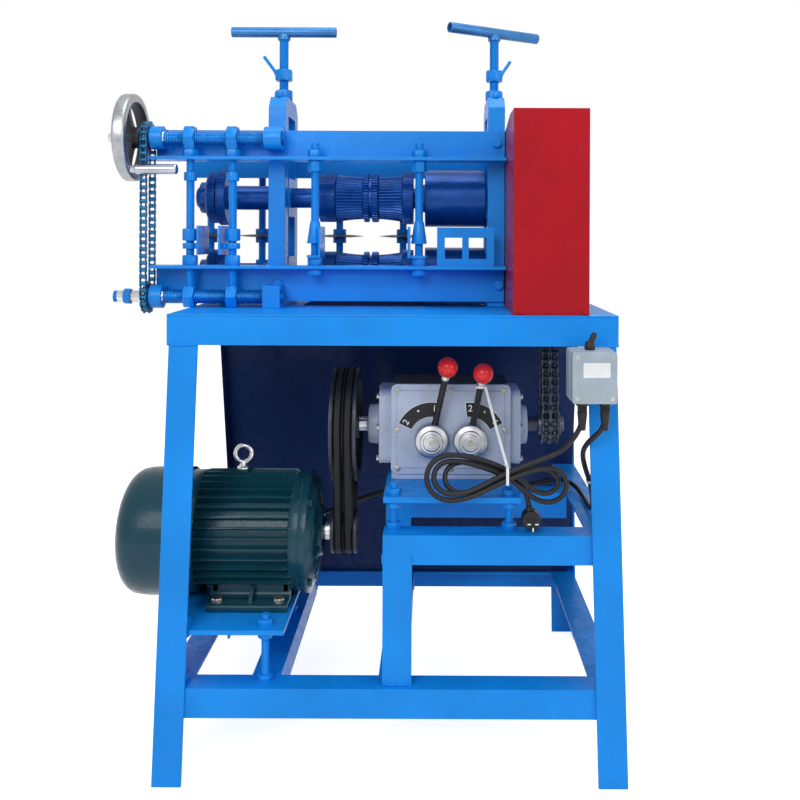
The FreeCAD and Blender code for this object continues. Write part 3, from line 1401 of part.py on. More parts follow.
# Handwheel and its grip
wheel_axis = (lead_back, s.lead_upper)
rim = turned("WheelRim", "X", *wheel_axis, [
    (s.wheel_left, 66), (s.wheel_left, 78), (s.wheel_left + 4, s.wheel_radius),
    (s.wheel_right - 4, s.wheel_radius), (s.wheel_right, 78), (s.wheel_right, 66)])
wheel_hub = tube("WheelHub", "X", s.wheel_left - 6, s.wheel_right + 8, *wheel_axis, 20, 11.1)
spokes = []
for index, angle in enumerate((124, 244, 4)):
    turn = Rotation(Vector(1, 0, 0), angle)
    spoke = document.addObject("Part::Box", f"Spoke{index}")
    give(spoke, Length=12, Width=52, Height=20)
    near = turn.multVec(Vector(0, 17, -10))
    place(spoke, s.wheel_left + 6, s.lead_back + near.y, s.lead_upper + near.z, turn)
    spokes.append(spoke)
node("handwheel", fuse("Wheel", rim, wheel_hub, *spokes))
node("crank_grip", turned("Grip", "X", lead_back - s.grip_forward, s.lead_upper - s.grip_down, steps(
    (s.wheel_right + 0.3, s.wheel_right + 10, 7),
    (s.wheel_right + 10, s.grip_right, s.grip_radius))))

# Switch box with its knob
switch_body = body("SwitchCase")
switch_sketch = sketch(switch_body, "SwitchOutline", "XZ")
outline(switch_sketch, [(s.switch_left, s.switch_bottom), (s.switch_right, s.switch_bottom),
                        (s.switch_right, s.switch_top), (s.switch_left, s.switch_top)])
switch_pad = pad(switch_body, "SwitchPad", switch_sketch, s.switch_back - s.switch_front)
document.recompute()
switch_round = switch_body.newObject("PartDesign::Fillet", "SwitchRounding")
switch_round.Base = (switch_pad, [f"Edge{index + 1}" for index, edge in enumerate(switch_pad.Shape.Edges)
                                  if edge.BoundBox.YLength > 1])
switch_round.Radius = 5
place(switch_body, 0, s.switch_front, 0)
bracket = block("SwitchBracket", s.switch_left + 41, s.switch_right - 4, s.switch_back,
                s.switch_back + 5.8, s.switch_bottom + 1, s.switch_bottom + 60)
node("switch_box", switch_body, bracket)
knob_back = -315
stem = rod("KnobStem", "Z", s.switch_top + 0.3, s.switch_top + 14, s.knob_left, knob_back, 9)
knob_turn = Rotation(Vector(0, 1, 0), 24)
grip_base = Vector(SIZES["knob_left"], knob_back, s.switch_top.value + 8)
blade = bar("KnobBlade", grip_base, grip_base + knob_turn.multVec(Vector(0, 0, 22)), 5)
node("switch_knob", fuse("Knob", stem, blade))
gland_back = -315
glands = []
for index, x in enumerate((318, 356)):
    outer = prism(f"GlandHexagon{index}", "Z", s.switch_bottom - 8, s.switch_bottom, x, gland_back, 20)
    sleeve = rod(f"GlandSleeve{index}", "Z", s.switch_bottom - 20, s.switch_bottom - 8, x, gland_back, 8)
    bore = rod(f"GlandBore{index}", "Z", s.switch_bottom - 21, s.switch_bottom + 1, x, gland_back,
               s.cord_radius + 0.1)
    glands.append(cut(f"Gland{index}", fuse(f"GlandSolid{index}", outer, sleeve), bore))
node("cable_glands", *glands)


# Cords
def rounded_run(points):
    """The edges of a run through points: straight between them, with a tangent arc at every turn."""
    corners = [Vector(*point) for point in points]
    edges = []
    tightest = 1e9
    here = corners[0]
    for before, corner, after in zip(corners, corners[1:], corners[2:]):
        come = corner - before
        go = after - corner
        half_turn = come.getAngle(go) / 2
        reach = 0.45 * min(come.Length, go.Length)
        radius = reach / math.tan(half_turn)
        tightest = min(tightest, radius)
        enter = corner - come.normalize() * reach
        leave = corner + go.normalize() * reach
        inward = (enter + leave) / 2 - corner
        middle = corner + inward.normalize() * (radius / math.cos(half_turn) - radius)
        edges.append(Part.LineSegment(here, enter).toShape())
        edges.append(Part.Arc(enter, middle, leave).toShape())
        here = leave
    edges.append(Part.LineSegment(here, corners[-1]).toShape())
    return edges, tightest


def cord(name, points, radius):
    """A round cord swept along a run, with its length and tightest bend printed."""
    edges, tightest = rounded_run(points)
    spine = Part.Wire(edges)
    start = Vector(*points[0])
    way = Vector(*points[1]) - start
    profile = Part.Wire(Part.Circle(start, way, radius).toShape())
    shape = spine.makePipeShell([profile], True, False)
    expected = math.pi * radius ** 2 * spine.Length
    print(name, "length", round(spine.Length, 1), "tightest bend", round(tightest, 1),
          "volume against section times length", round(shape.Volume / expected, 4))
    return solid(name, shape), edges


def own_gap(edges, radius):
    """The least gap of a cord to itself, measured on points along it."""
    samples = []
    travelled = 0
    for edge in edges:
        count = max(2, int(edge.Length / 1.5))
        for point in edge.discretize(count)[:-1]:
            samples.append((travelled, point))
            travelled += edge.Length / (count - 1)
    least = 1e9
    for index, (travel, point) in enumerate(samples):
        for far_travel, far in samples[index + 1:]:
            if far_travel - travel > 8 * radius:
                least = min(least, point.distanceToPoint(far))
    return least - 2 * radius


def hung(points, foot):
    """A cord's points, the ones above its foot carried along as the switch box moves up or down."""
    top = points[0][2]
    rise = s.switch_bottom.value - 0.2 - top
    return [(x, y, z + rise * max(0, (z - foot) / (top - foot))) for x, y, z in points]


SUPPLY_POINTS = [
    (318, -315, 652.8), (318, -315, 618), (311, -312, 599), (300, -302, 580), (284.1, -293.4, 562.2),
    (262.3, -292, 553.1),
]
# The hank: three loops to the left and two to the right, crossing at the tie, then down to the plug
HANK_POINTS = [
    (262.0, -292.0, 553.0), (241.5, -290.7, 544.5), (220.9, -289.5, 536.4), (200.5, -288.7, 527.7),
    (180.6, -288.4, 517.9), (160.9, -288.4, 507.4), (140.7, -288.6, 497.4), (119.2, -289.0, 489.9),
    (97.0, -288.5, 488.4), (78.3, -285.6, 496.6), (69.9, -279.4, 513.4), (75.8, -272.9, 530.7),
    (93.1, -269.2, 540.2), (115.2, -268.4, 540.1), (137.7, -268.6, 535.0), (159.4, -268.8, 528.5),
    (180.3, -268.8, 521.0), (200.0, -268.8, 511.0), (218.0, -268.8, 497.6), (235.2, -268.8, 482.7),
    (254.0, -269.5, 471.7), (274.5, -272.1, 470.8), (291.4, -276.6, 481.9), (298.7, -281.8, 501.1),
    (293.5, -286.0, 520.9), (277.9, -288.2, 533.3), (256.8, -288.8, 534.4), (234.5, -288.6, 528.2),
    (213.0, -288.5, 520.3), (192.4, -288.5, 511.9), (172.5, -288.5, 502.2), (152.6, -288.5, 492.1),
    (131.7, -288.6, 483.5), (109.7, -288.8, 478.1), (87.6, -288.1, 478.7), (69.1, -285.4, 488.4),
    (58.9, -280.5, 506.1), (60.3, -275.0, 526.5), (72.8, -270.7, 542.7), (92.6, -268.8, 550.4),
    (115.0, -268.5, 550.5), (137.5, -268.7, 546.5), (159.2, -268.8, 540.8), (180.1, -268.8, 533.2),
    (199.8, -268.8, 523.1), (218.2, -268.7, 510.0), (235.9, -268.6, 495.3), (254.9, -269.2, 485.0),
    (273.8, -271.1, 486.9), (284.9, -274.1, 501.7), (281.4, -277.0, 519.9), (265.1, -278.5, 530.5),
    (243.2, -278.8, 530.7), (220.6, -278.7, 525.4), (199.1, -278.6, 518.6), (178.6, -278.6, 509.9),
    (158.4, -278.7, 499.9), (137.2, -279.0, 491.1), (115.3, -278.7, 487.7), (96.8, -275.8, 494.9),
    (89.0, -269.6, 511.2), (95.6, -262.9, 528.0), (113.5, -259.2, 536.4), (135.8, -258.5, 535.5),
    (158.2, -258.8, 530.3), (179.7, -259.0, 523.1), (200.0, -259.0, 513.3), (218.3, -259.0, 500.2),
    (232.1, -259.0, 483.4), (236.0, -259.0, 462.0),
]
LEAD_POINTS = [
    (356, -315, 652.8), (356, -315, 620), (350, -312, 602), (338, -302, 588), (329, -284, 572),
    (327, -262, 552), (334, -246, 526), (345, -232, 498), (354, -212, 462), (359, -182, 436),
    (361, -142, 423.6), (362, -96, 421.8), (361, -50, 422.4), (356, -14, 427), (344, 12, 431),
    (324, 30, 431), (298, 38, 423),
    (246, 36, 412), (180, 35.6, 409), (110, 35.8, 410), (44, 35.4, 408.6), (-16, 36.5, 405), (-68, 40, 390),
    (-118, 43, 369), (-164, 45, 352), (-204, 45, 348), (-239.7, 45, 348),
]
cord_radius = SIZES["cord_radius"]
supply = cord("SupplyRun", hung(SUPPLY_POINTS, 553.1), cord_radius)[0]
node("supply_cord", supply)
hank, hank_edges = cord("HankRun", HANK_POINTS, cord_radius)
print("least gap of the hank to itself", round(own_gap(hank_edges, cord_radius), 2))
node("cord_hank", hank)
lead_run = hung(LEAD_POINTS, 436)
lead = cord("LeadRun", lead_run, cord_radius)[0]
node("motor_lead", lead)
plug_x = 240
plug_z = 438
housing = rod("PlugHousing", "Y", -270, -240, plug_x, plug_z, 16.5)
neck = rod("PlugNeck", "Z", plug_z, plug_z + 23, plug_x - 4, -259, 6.5)
pins = [block("PlugLine", plug_x - 9.5, plug_x - 3.5, -288, -269, plug_z - 1, plug_z + 1),
        block("PlugNeutral", plug_x + 3.5, plug_x + 9.5, -288, -269, plug_z - 1, plug_z + 1),
        block("PlugEarth", plug_x - 1, plug_x + 1, -290, -269, plug_z - 12, plug_z - 5)]
node("supply_plug", fuse("Plug", housing, neck, *pins))

# Ties: one round the crossing of the hank, hung from the neck of the right lever, and one on the motor lead
tie_outer = block("TieOuter", 193.5, 198.5, -295.8, -252.2, 504.6, 535.6)
tie_inner = block("TieInner", 192, 200, -294.2, -253.8, 506.2, 534)
strap_top = Vector(164, -192, 654)
strap_foot = Vector(196, -277, 535.4)
strap_way = strap_foot - strap_top
strap = document.addObject("Part::Box", "Strap")
give(strap, Length=4.6, Width=1.2, Height=strap_way.Length)
place(strap, strap_top.x, strap_top.y, strap_top.z, Rotation(Vector(0, 0, 1), strap_way))
neck_loop = tube("NeckLoop", "Z", 652, 656, 155.5, -187, 9.6, 8.4)
lead_loop = document.addObject("Part::Torus", "LeadLoop")
give(lead_loop, Radius1=6.6, Radius2=1)
place(lead_loop, *lead_run[7], Rotation(Vector(0, 0, 1), Vector(*lead_run[8]) - Vector(*lead_run[6])))
node("cord_ties", cut("HankTie", tie_outer, tie_inner), strap, neck_loop, lead_loop)

# Write every sub-part
document.recompute()
os.makedirs("parts", exist_ok=True)
for item in document.Objects:
    if "Invalid" in item.State or "Error" in item.State:
        raise RuntimeError(f"{item.Name} did not build")
for item in NODES:
    shape = item.Shape
    if shape.isNull() or not shape.isValid():
        raise RuntimeError(f"{item.Label} has no sound shape")
    shape.exportStep(f"parts/{item.Label}.step")
    box = shape.BoundBox
    print(item.Label, len(shape.Solids), [round(value, 1) for value in (
        box.XMin, box.XMax, box.YMin, box.YMax, box.ZMin, box.ZMax)])
print("sub-parts", len(NODES))
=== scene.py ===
"""Cable stripping machine on its steel table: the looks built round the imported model."""
import json
import math

import bmesh
import bpy
import numpy as np
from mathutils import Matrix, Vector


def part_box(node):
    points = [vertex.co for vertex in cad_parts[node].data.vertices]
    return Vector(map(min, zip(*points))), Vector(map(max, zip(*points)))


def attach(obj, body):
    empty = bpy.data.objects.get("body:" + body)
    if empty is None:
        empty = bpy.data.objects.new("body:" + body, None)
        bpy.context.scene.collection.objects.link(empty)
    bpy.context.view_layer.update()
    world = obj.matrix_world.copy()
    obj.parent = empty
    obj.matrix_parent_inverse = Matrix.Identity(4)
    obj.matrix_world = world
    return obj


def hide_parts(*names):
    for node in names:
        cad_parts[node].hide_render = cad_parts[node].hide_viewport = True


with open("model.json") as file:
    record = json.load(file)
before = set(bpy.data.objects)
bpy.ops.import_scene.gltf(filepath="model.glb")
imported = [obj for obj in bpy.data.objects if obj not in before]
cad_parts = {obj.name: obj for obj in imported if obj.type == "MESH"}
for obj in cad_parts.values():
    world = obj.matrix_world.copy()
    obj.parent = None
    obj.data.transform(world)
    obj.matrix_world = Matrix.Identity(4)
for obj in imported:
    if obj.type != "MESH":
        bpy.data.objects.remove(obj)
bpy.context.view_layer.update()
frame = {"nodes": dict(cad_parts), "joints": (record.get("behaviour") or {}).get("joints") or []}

bl_info = {
    "name": "Cable Stripping Machine",
    "version": (1, 0, 0),
    "blender": (4, 5, 0),
    "location": "View3D > Sidebar > Stripper",
    "description": "Builds a two shaft cable stripping machine piece by piece",
    "category": "Object",
}

# The table top's middle is the origin of the machine's own millimetres, and hinges are known to a hundredth
TOP_LOW, TOP_HIGH = (np.array(corner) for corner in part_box("table_top"))
MIDDLE = (TOP_LOW + TOP_HIGH) / 2 * (1, 1, 0)
PIVOTS = {joint["name"]: np.round((np.array(joint["pos_m"]) - MIDDLE) * 1000, 2)
          for joint in frame["joints"] if joint["type"] == "hinge"}

# Level shafts, each as its place in depth and height
MOTOR = PIVOTS["motor_rotor_spin"][1:]
GEAR = PIVOTS["gearbox_input_spin"][1:]
UPPER = PIVOTS["upper_shaft_spin"][1:]
LOWER = PIVOTS["lower_shaft_spin"][1:]
UPPER_LEAD = PIVOTS["upper_screw_turn"][1:]
LOWER_LEAD = PIVOTS["lower_screw_turn"][1:]

AXES = {"X": (0, 1, 2), "Y": (1, 0, 2), "Z": (2, 0, 1)}
SIDEWAYS = (1, 0, 0)
SIXTH_TURN = math.pi / 3


def sizes():
    """The machine's editable sizes."""
    return bpy.context.scene.stripper_sizes


def colours():
    """The machine's editable colours."""
    return bpy.context.scene.stripper_colours


# Surfaces worked out on grids
def spatial(axis, along, first, second):
    """Points from a distance along an axis and two distances across it."""
    points = np.empty(np.broadcast(along, first, second).shape + (3,))
    for column, values in zip(AXES[axis], (along, first, second)):
        points[..., column] = values
    return points


def cells(rows, columns, round_rows=False):
    """Quads of a grid whose columns close on themselves: each cell takes a corner and its neighbours."""
    row, column = np.meshgrid(np.arange(rows if round_rows else rows - 1), np.arange(columns), indexing="ij")
    here = row * columns
    after = (row + 1) % rows * columns
    beside = (column + 1) % columns
    return np.stack([here + column, here + beside, after + beside, after + column], -1).reshape(-1, 4)


def end_faces(rows, count):
    """The first and the last row of a grid as flat faces that look away from each other."""
    return [np.arange(count)[None, ::-1], (rows - 1) * count + np.arange(count)[None]]


def outward(points, faces):
    """A closed form with its faces outwards: the cones from its middle to its faces add up to over nought."""
    around = points - points.mean(0)
    total = 0.0
    for group in faces:
        for corner in range(1, group.shape[1] - 1):
            total += np.einsum("ij,ij->", around[group[:, 0]],
                               np.cross(around[group[:, corner]], around[group[:, corner + 1]]))
    return points, [group[:, ::-1] for group in faces] if total < 0 else faces


def joined(*forms):
    """Several forms as one, each with its point numbers moved past those before it."""
    start = 0
    faces = []
    for points, groups in forms:
        faces += [group + start for group in groups]
        start += len(points)
    return np.concatenate([form[0] for form in forms]), faces


def repeated(form, shifts, turns=None):
    """A form copied to every shift, each copy turned by its own matrix first."""
    points, groups = form
    shifts = np.atleast_2d(np.array(shifts, float))
    copies = points[None] if turns is None else np.einsum("nij,pj->npi", np.array(turns), points)
    copies = copies + shifts[:, None]
    steps = np.arange(len(shifts))[:, None, None] * len(points)
    return copies.reshape(-1, 3), [(group[None] + steps).reshape(-1, group.shape[1]) for group in groups]


def turn_about(axis, angle):
    """Matrices that turn points about X, Y or Z by angles in radians."""
    angle = np.atleast_1d(angle).astype(float)
    first, second = {"X": (1, 2), "Y": (2, 0), "Z": (0, 1)}[axis]
    turns = np.tile(np.eye(3), (len(angle), 1, 1))
    turns[:, first, first] = np.cos(angle)
    turns[:, second, second] = np.cos(angle)
    turns[:, first, second] = -np.sin(angle)
    turns[:, second, first] = np.sin(angle)
    return turns


def round_shaft(form, centre, count, first=0.0):
    """A form copied evenly round a level shaft, the first copy turned by an angle in degrees."""
    angles = np.radians(np.arange(count) * 360 / count + first)
    return repeated(form, np.tile((0, *centre), (count, 1)), turn_about("X", angles))


def softened(corners, radius, steps=3, closed=True):
    """A broken line with each corner given way to a parabola between points a radius before and after it."""
    corners = np.array(corners, float)
    before = np.roll(corners, 1, 0) - corners
    after = np.roll(corners, -1, 0) - corners
    reach_before = np.linalg.norm(before, axis=1)
    reach_after = np.linalg.norm(after, axis=1)
    cut = np.minimum(np.broadcast_to(radius, len(corners)), 0.46 * np.minimum(reach_before, reach_after))
    start = corners + before / np.maximum(reach_before, 1e-9)[:, None] * cut[:, None]
    end = corners + after / np.maximum(reach_after, 1e-9)[:, None] * cut[:, None]
    t = np.linspace(0, 1, steps + 1)[None, :, None]
    arcs = (1 - t) ** 2 * start[:, None] + 2 * t * (1 - t) * corners[:, None] + t ** 2 * end[:, None]
    if closed:
        return arcs.reshape(-1, 2)
    return np.concatenate([corners[:1], arcs[1:-1].reshape(-1, 2), corners[-1:]])


def turned(axis, centre, profile, sides, wave=None, ring=False):
    """A turned surface: every station (along, radius) of the profile makes a ring of even angles.

    wave gives the radius from along, angle and plain radius. A ring profile closes on itself, and any
    other has a flat face at each end.
    """
    profile = np.array(profile, float)
    angle = np.arange(sides) * 2 * np.pi / sides
    along = np.repeat(profile[:, :1], sides, 1)
    radius = np.repeat(profile[:, 1:], sides, 1)
    if wave is not None:
        radius = wave(along, angle[None], radius)
    points = spatial(axis, along, centre[0] + radius * np.cos(angle), centre[1] + radius * np.sin(angle))
    rows = len(profile)
    faces = [cells(rows, sides, ring)] + ([] if ring else end_faces(rows, sides))
    return outward(points.reshape(-1, 3), faces)


def lathe(axis, centre, stations, ease, sides, steps=2):
    """A turned form with flat ends, the corners of its profile eased."""
    return turned(axis, centre, softened(stations, ease, steps, False), sides)


def eased_ring(axis, centre, stations, ease, sides, steps=3, wave=None):
    """A turned ring, the corners of its closed section eased."""
    return turned(axis, centre, softened(stations, ease, steps), sides, wave, ring=True)


def ball(centre, radius):
    """A sphere: rings of radius times the sine of even steps, at minus radius times their cosine."""
    way = np.linspace(0.03, np.pi - 0.03, 20)
    profile = np.stack([centre[2] - radius * np.cos(way), radius * np.sin(way)], 1)
    return turned("Z", centre[:2], profile, 40)


def torus(axis, centre, along, radius, thick, sides, rows):
    """A ring: a circle of stations turned about the axis."""
    way = np.arange(rows) * 2 * np.pi / rows
    profile = np.stack([along + thick * np.cos(way), radius + thick * np.sin(way)], 1)
    return turned(axis, centre, profile, sides, ring=True)


def extruded(axis, outline, low, high):
    """A flat outline carried along an axis from low to high, with a flat face at each end."""
    outline = np.array(outline, float)
    count = len(outline)
    points = np.concatenate([spatial(axis, at, outline[:, 0], outline[:, 1]) for at in (low, high)])
    return outward(points, [cells(2, count), *end_faces(2, count)])


def slab(x0, x1, y0, y1, z0, z1, radius, axis):
    """A plate or block with rounded corners: its outline across an axis carried along it."""
    spans = ((x0, x1), (y0, y1), (z0, z1))
    (low, high), (a0, a1), (b0, b1) = (spans[index] for index in AXES[axis])
    outline = softened([(a0, b0), (a1, b0), (a1, b1), (a0, b1)], radius)
    return extruded(axis, outline, low, high)


def swept(section, path, closed=False):
    """A flat section carried along a path: its first distance stays sideways, its second crosses the path."""
    path = np.array(path, float)
    section = np.array(section, float)
    ahead = np.roll(path, -1, 0) - np.roll(path, 1, 0)
    if not closed:
        ahead[0] = path[1] - path[0]
        ahead[-1] = path[-1] - path[-2]
    ahead /= np.linalg.norm(ahead, axis=1)[:, None]
    across = np.cross(ahead, np.array(SIDEWAYS, float))
    across /= np.linalg.norm(across, axis=1)[:, None]
    level = np.cross(across, ahead)
    points = path[:, None] + section[None, :, :1] * level[:, None] + section[None, :, 1:] * across[:, None]
    rows, count = points.shape[:2]
    faces = [cells(rows, count, closed)] + ([] if closed else end_faces(rows, count))
    return outward(points.reshape(-1, 3), faces)


def rod(start, end, profile, sides):
    """A turned form between two points: stations (share of the way, radius) make its rings."""
    start = np.array(start, float)
    way = np.array(end, float) - start
    ahead = way / np.linalg.norm(way)
    guide = np.array((0.0, 0.0, 1.0)) if abs(ahead[2]) < 0.9 else np.array((1.0, 0.0, 0.0))
    side = np.cross(ahead, guide)
    side /= np.linalg.norm(side)
    up = np.cross(ahead, side)
    profile = np.array(profile, float)
    angle = np.arange(sides) * 2 * np.pi / sides
    ring = np.cos(angle)[:, None] * side + np.sin(angle)[:, None] * up
    points = start + profile[:, :1, None] * way + profile[:, 1:, None] * ring
    rows = len(profile)
    return outward(points.reshape(-1, 3), [cells(rows, sides), *end_faces(rows, sides)])


def hexagon_wave(flats, turn):
    """A hexagon's radius at each angle, half its flats over the cosine, never more than the plain radius."""
    def wave(along, angle, radius):
        near = (angle - turn + SIXTH_TURN / 2) % SIXTH_TURN - SIXTH_TURN / 2
        return np.minimum(flats / 2 / np.cos(near), radius)
    return wave


def corner_radius(flats):
    """The radius at a hexagon's corners."""
    return flats / 2 / math.cos(SIXTH_TURN / 2)


def hex_nut(axis, centre, low, high, flats, turn):
    """A hexagon nut or bolt head with chamfered ends: a hexagon's radius, held under a cone at each end."""
    chamfer = 0.06 * flats
    rim = corner_radius(flats)
    profile = [(low, flats * 0.46), (low, flats * 0.495), (low + chamfer, rim), (high - chamfer, rim),
               (high, flats * 0.495), (high, flats * 0.46)]
    return turned(axis, centre, profile, 48, hexagon_wave(flats, turn))


def thread(axis, centre, low, high, radius, pitch, deep, sides, per=6):
    """A threaded rod: the radius falls and rises once in each pitch, in step with the angle."""
    rows = int((high - low) / pitch * per) + 1
    along = np.linspace(low, high, rows)
    end = radius - 1.5 * deep
    crest = np.stack([along, np.full(rows, float(radius))], 1)
    profile = np.concatenate([[[low, end]], crest, [[high, end]]])

    def wave(at, angle, plain):
        groove = (0.5 - 0.5 * np.cos(2 * np.pi * at / pitch - angle)) ** 0.7
        return plain - deep * groove
    return turned(axis, centre, profile, sides, wave)


def toothed(teeth, deep):
    """A wave of straight teeth: the radius drops by deep in each gap, with steep flanks."""
    def wave(along, angle, radius):
        return radius - deep / (1 + np.exp(6.0 * np.cos(angle * teeth)))
    return wave


# From forms to objects
def in_finish(finish, *forms):
    """Forms that share a finish, paired with it as a piece takes them."""
    return [(form, finish) for form in forms]


def piece(name, forms, body, replaced=(), bevel=0.0, smooth=38, segments=2):
    """One object from forms, each given with its finish, at its place in the frame, riding on a body."""
    points = []
    polygons = []
    marks = []
    finishes = []
    start = 0
    for form, finish in forms:
        if finish not in finishes:
            finishes.append(finish)
        own, groups = form
        points.append(own)
        for group in groups:
            polygons += (group + start).tolist()
            marks += [finishes.index(finish)] * len(group)
        start += len(own)
    mesh = bpy.data.meshes.new(name)
    mesh.from_pydata((np.concatenate(points) / 1000 + MIDDLE).tolist(), [], polygons)
    for finish in finishes:
        mesh.materials.append(finish)
    mesh.polygons.foreach_set("material_index", np.array(marks, np.int32))
    return settle(bpy.data.objects.new(name, mesh), body, replaced, bevel, smooth, segments)


def settle(item, body, replaced, bevel, smooth=38, segments=2):
    """Links a new object, smooths it up to an angle, eases its edges and hands it to the frame."""
    bpy.context.scene.collection.objects.link(item)
    mesh = item.data
    mesh.polygons.foreach_set("use_smooth", np.ones(len(mesh.polygons), bool))
    mesh.set_sharp_from_angle(angle=math.radians(smooth))
    mesh.update()
    if bevel:
        edge = item.modifiers.new("Eased edges", "BEVEL")
        edge.width = bevel / 1000
        edge.segments = segments
        edge.limit_method = "ANGLE"
        edge.angle_limit = math.radians(40)
        edge.use_clamp_overlap = True
        edge.harden_normals = True
    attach(item, body)
    if replaced:
        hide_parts(*((replaced,) if isinstance(replaced, str) else replaced))
    return item


def merged_copy(name, node, finish, body, bevel):
    """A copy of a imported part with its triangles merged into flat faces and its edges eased."""
    mesh = frame["nodes"][node].data.copy()
    mesh.name = name
    work = bmesh.new()
    work.from_mesh(mesh)
    bmesh.ops.remove_doubles(work, verts=work.verts, dist=1e-5)
    bmesh.ops.dissolve_limit(work, angle_limit=math.radians(1.0), verts=work.verts, edges=work.edges)
    work.to_mesh(mesh)
    work.free()
    mesh.materials.clear()
    mesh.materials.append(finish)
    mesh.polygons.foreach_set("material_index", np.zeros(len(mesh.polygons), np.int32))
    return settle(bpy.data.objects.new(name, mesh), body, node, bevel)


# Finishes
FINISHES = {}


def new_finish(name, colour, metallic, rough, coat=0.0, coat_rough=0.05, specular=0.24):
    """A material with its shader and object coordinates, remembered by name."""
    material = bpy.data.materials.new(name)
    material.use_nodes = True
    tree = material.node_tree
    shader = tree.nodes["Principled BSDF"]
    shader.inputs["Base Color"].default_value = (*colour, 1)
    shader.inputs["Metallic"].default_value = metallic
    shader.inputs["Roughness"].default_value = rough
    shader.inputs["Coat Weight"].default_value = coat
    shader.inputs["Coat Roughness"].default_value = coat_rough
    shader.inputs["Specular IOR Level"].default_value = specular
    where = tree.nodes.new("ShaderNodeTexCoord")
    FINISHES[name] = material
    return material, tree, shader, where.outputs["Object"]


def stretched(tree, where, scale):
    """Object coordinates scaled for a drawn-out pattern."""
    mapping = tree.nodes.new("ShaderNodeMapping")
    mapping.inputs["Scale"].default_value = scale
    tree.links.new(where, mapping.inputs["Vector"])
    return mapping.outputs["Vector"]


def noise(tree, where, scale, detail, rough=0.55):
    """A cloudy pattern from 0 to 1."""
    node = tree.nodes.new("ShaderNodeTexNoise")
    node.inputs["Scale"].default_value = scale
    node.inputs["Detail"].default_value = detail
    node.inputs["Roughness"].default_value = rough
    tree.links.new(where, node.inputs["Vector"])
    return node.outputs["Fac"]


def ranged(tree, value, low, high, to_low, to_high):
    """A value carried from one range to another and held inside it."""
    node = tree.nodes.new("ShaderNodeMapRange")
    node.interpolation_type = "SMOOTHSTEP"
    for socket, number in zip(("From Min", "From Max", "To Min", "To Max"), (low, high, to_low, to_high)):
        node.inputs[socket].default_value = number
    tree.links.new(value, node.inputs["Value"])
    return node.outputs["Result"]


def mixed(tree, amount, first, second):
    """Two colours, or a colour and a socket, mixed by an amount."""
    node = tree.nodes.new("ShaderNodeMix")
    node.data_type = "RGBA"
    tree.links.new(amount, node.inputs["Factor"])
    for socket, given in ((node.inputs[6], first), (node.inputs[7], second)):
        if isinstance(given, bpy.types.NodeSocket):
            tree.links.new(given, socket)
        else:
            socket.default_value = (*given, 1)
    return node.outputs[2]


def combined(tree, operation, first, second):
    """Two values put together by one step of arithmetic."""
    node = tree.nodes.new("ShaderNodeMath")
    node.operation = operation
    tree.links.new(first, node.inputs[0])
    tree.links.new(second, node.inputs[1])
    return node.outputs[0]


def raised(tree, shader, heights):
    """Bumps from several patterns, each with its strength and depth in metres."""
    normal = None
    for value, strength, depth in heights:
        node = tree.nodes.new("ShaderNodeBump")
        node.inputs["Strength"].default_value = strength
        node.inputs["Distance"].default_value = depth
        tree.links.new(value, node.inputs["Height"])
        if normal is not None:
            tree.links.new(normal, node.inputs["Normal"])
        normal = node.outputs["Normal"]
    tree.links.new(normal, shader.inputs["Normal"])


def shaded(colour, factor):
    """A colour made lighter or darker."""
    return tuple(min(1.0, part * factor) for part in colour)


def dusty(colour, share, lift):
    """A colour faded towards grey."""
    return tuple(share * part + lift for part in colour)


def linear(colour):
    """A colour picked on the screen, as the shader takes it."""
    return tuple(part / 12.92 if part <= 0.04045 else ((part + 0.055) / 1.055) ** 2.4 for part in colour)


def paint(name, colour, rough=0.4, coat=0.05, peel=0.3, grime=0.14, chips=0.7, specular=0.2):
    """Sprayed paint: cloudy thick and thin coats, orange peel, a little dust and a few small chips."""
    material, tree, shader, where = new_finish(name, colour, 0.0, rough, coat, 0.1, specular)
    coats = ranged(tree, noise(tree, where, 7.0, 3), 0.3, 0.7, 0.0, 1.0)
    body = mixed(tree, coats, shaded(colour, 0.9), shaded(colour, 1.07))
    dust = ranged(tree, noise(tree, where, 38.0, 8, 0.68), 0.56, 0.78, 0.0, grime)
    body = mixed(tree, dust, body, dusty(colour, 0.6, 0.08))
    spots = ranged(tree, noise(tree, where, 240.0, 3, 0.5), chips, chips + 0.03, 0.0, 1.0)
    few = ranged(tree, noise(tree, where, 15.0, 2), 0.56, 0.64, 0.0, 1.0)
    chipped = combined(tree, "MULTIPLY", spots, few)
    body = mixed(tree, chipped, body, shaded(colour, 0.5))
    tree.links.new(body, shader.inputs["Base Color"])
    smear = ranged(tree, noise(tree, where, 90.0, 5), 0.3, 0.75, rough * 0.8, rough * 1.5)
    tree.links.new(smear, shader.inputs["Roughness"])
    raised(tree, shader, ((noise(tree, where, 420.0, 2), peel, 0.0006), (chipped, 0.4, -0.0004),
                          (noise(tree, where, 24.0, 2), 0.25, 0.004)))
    return material


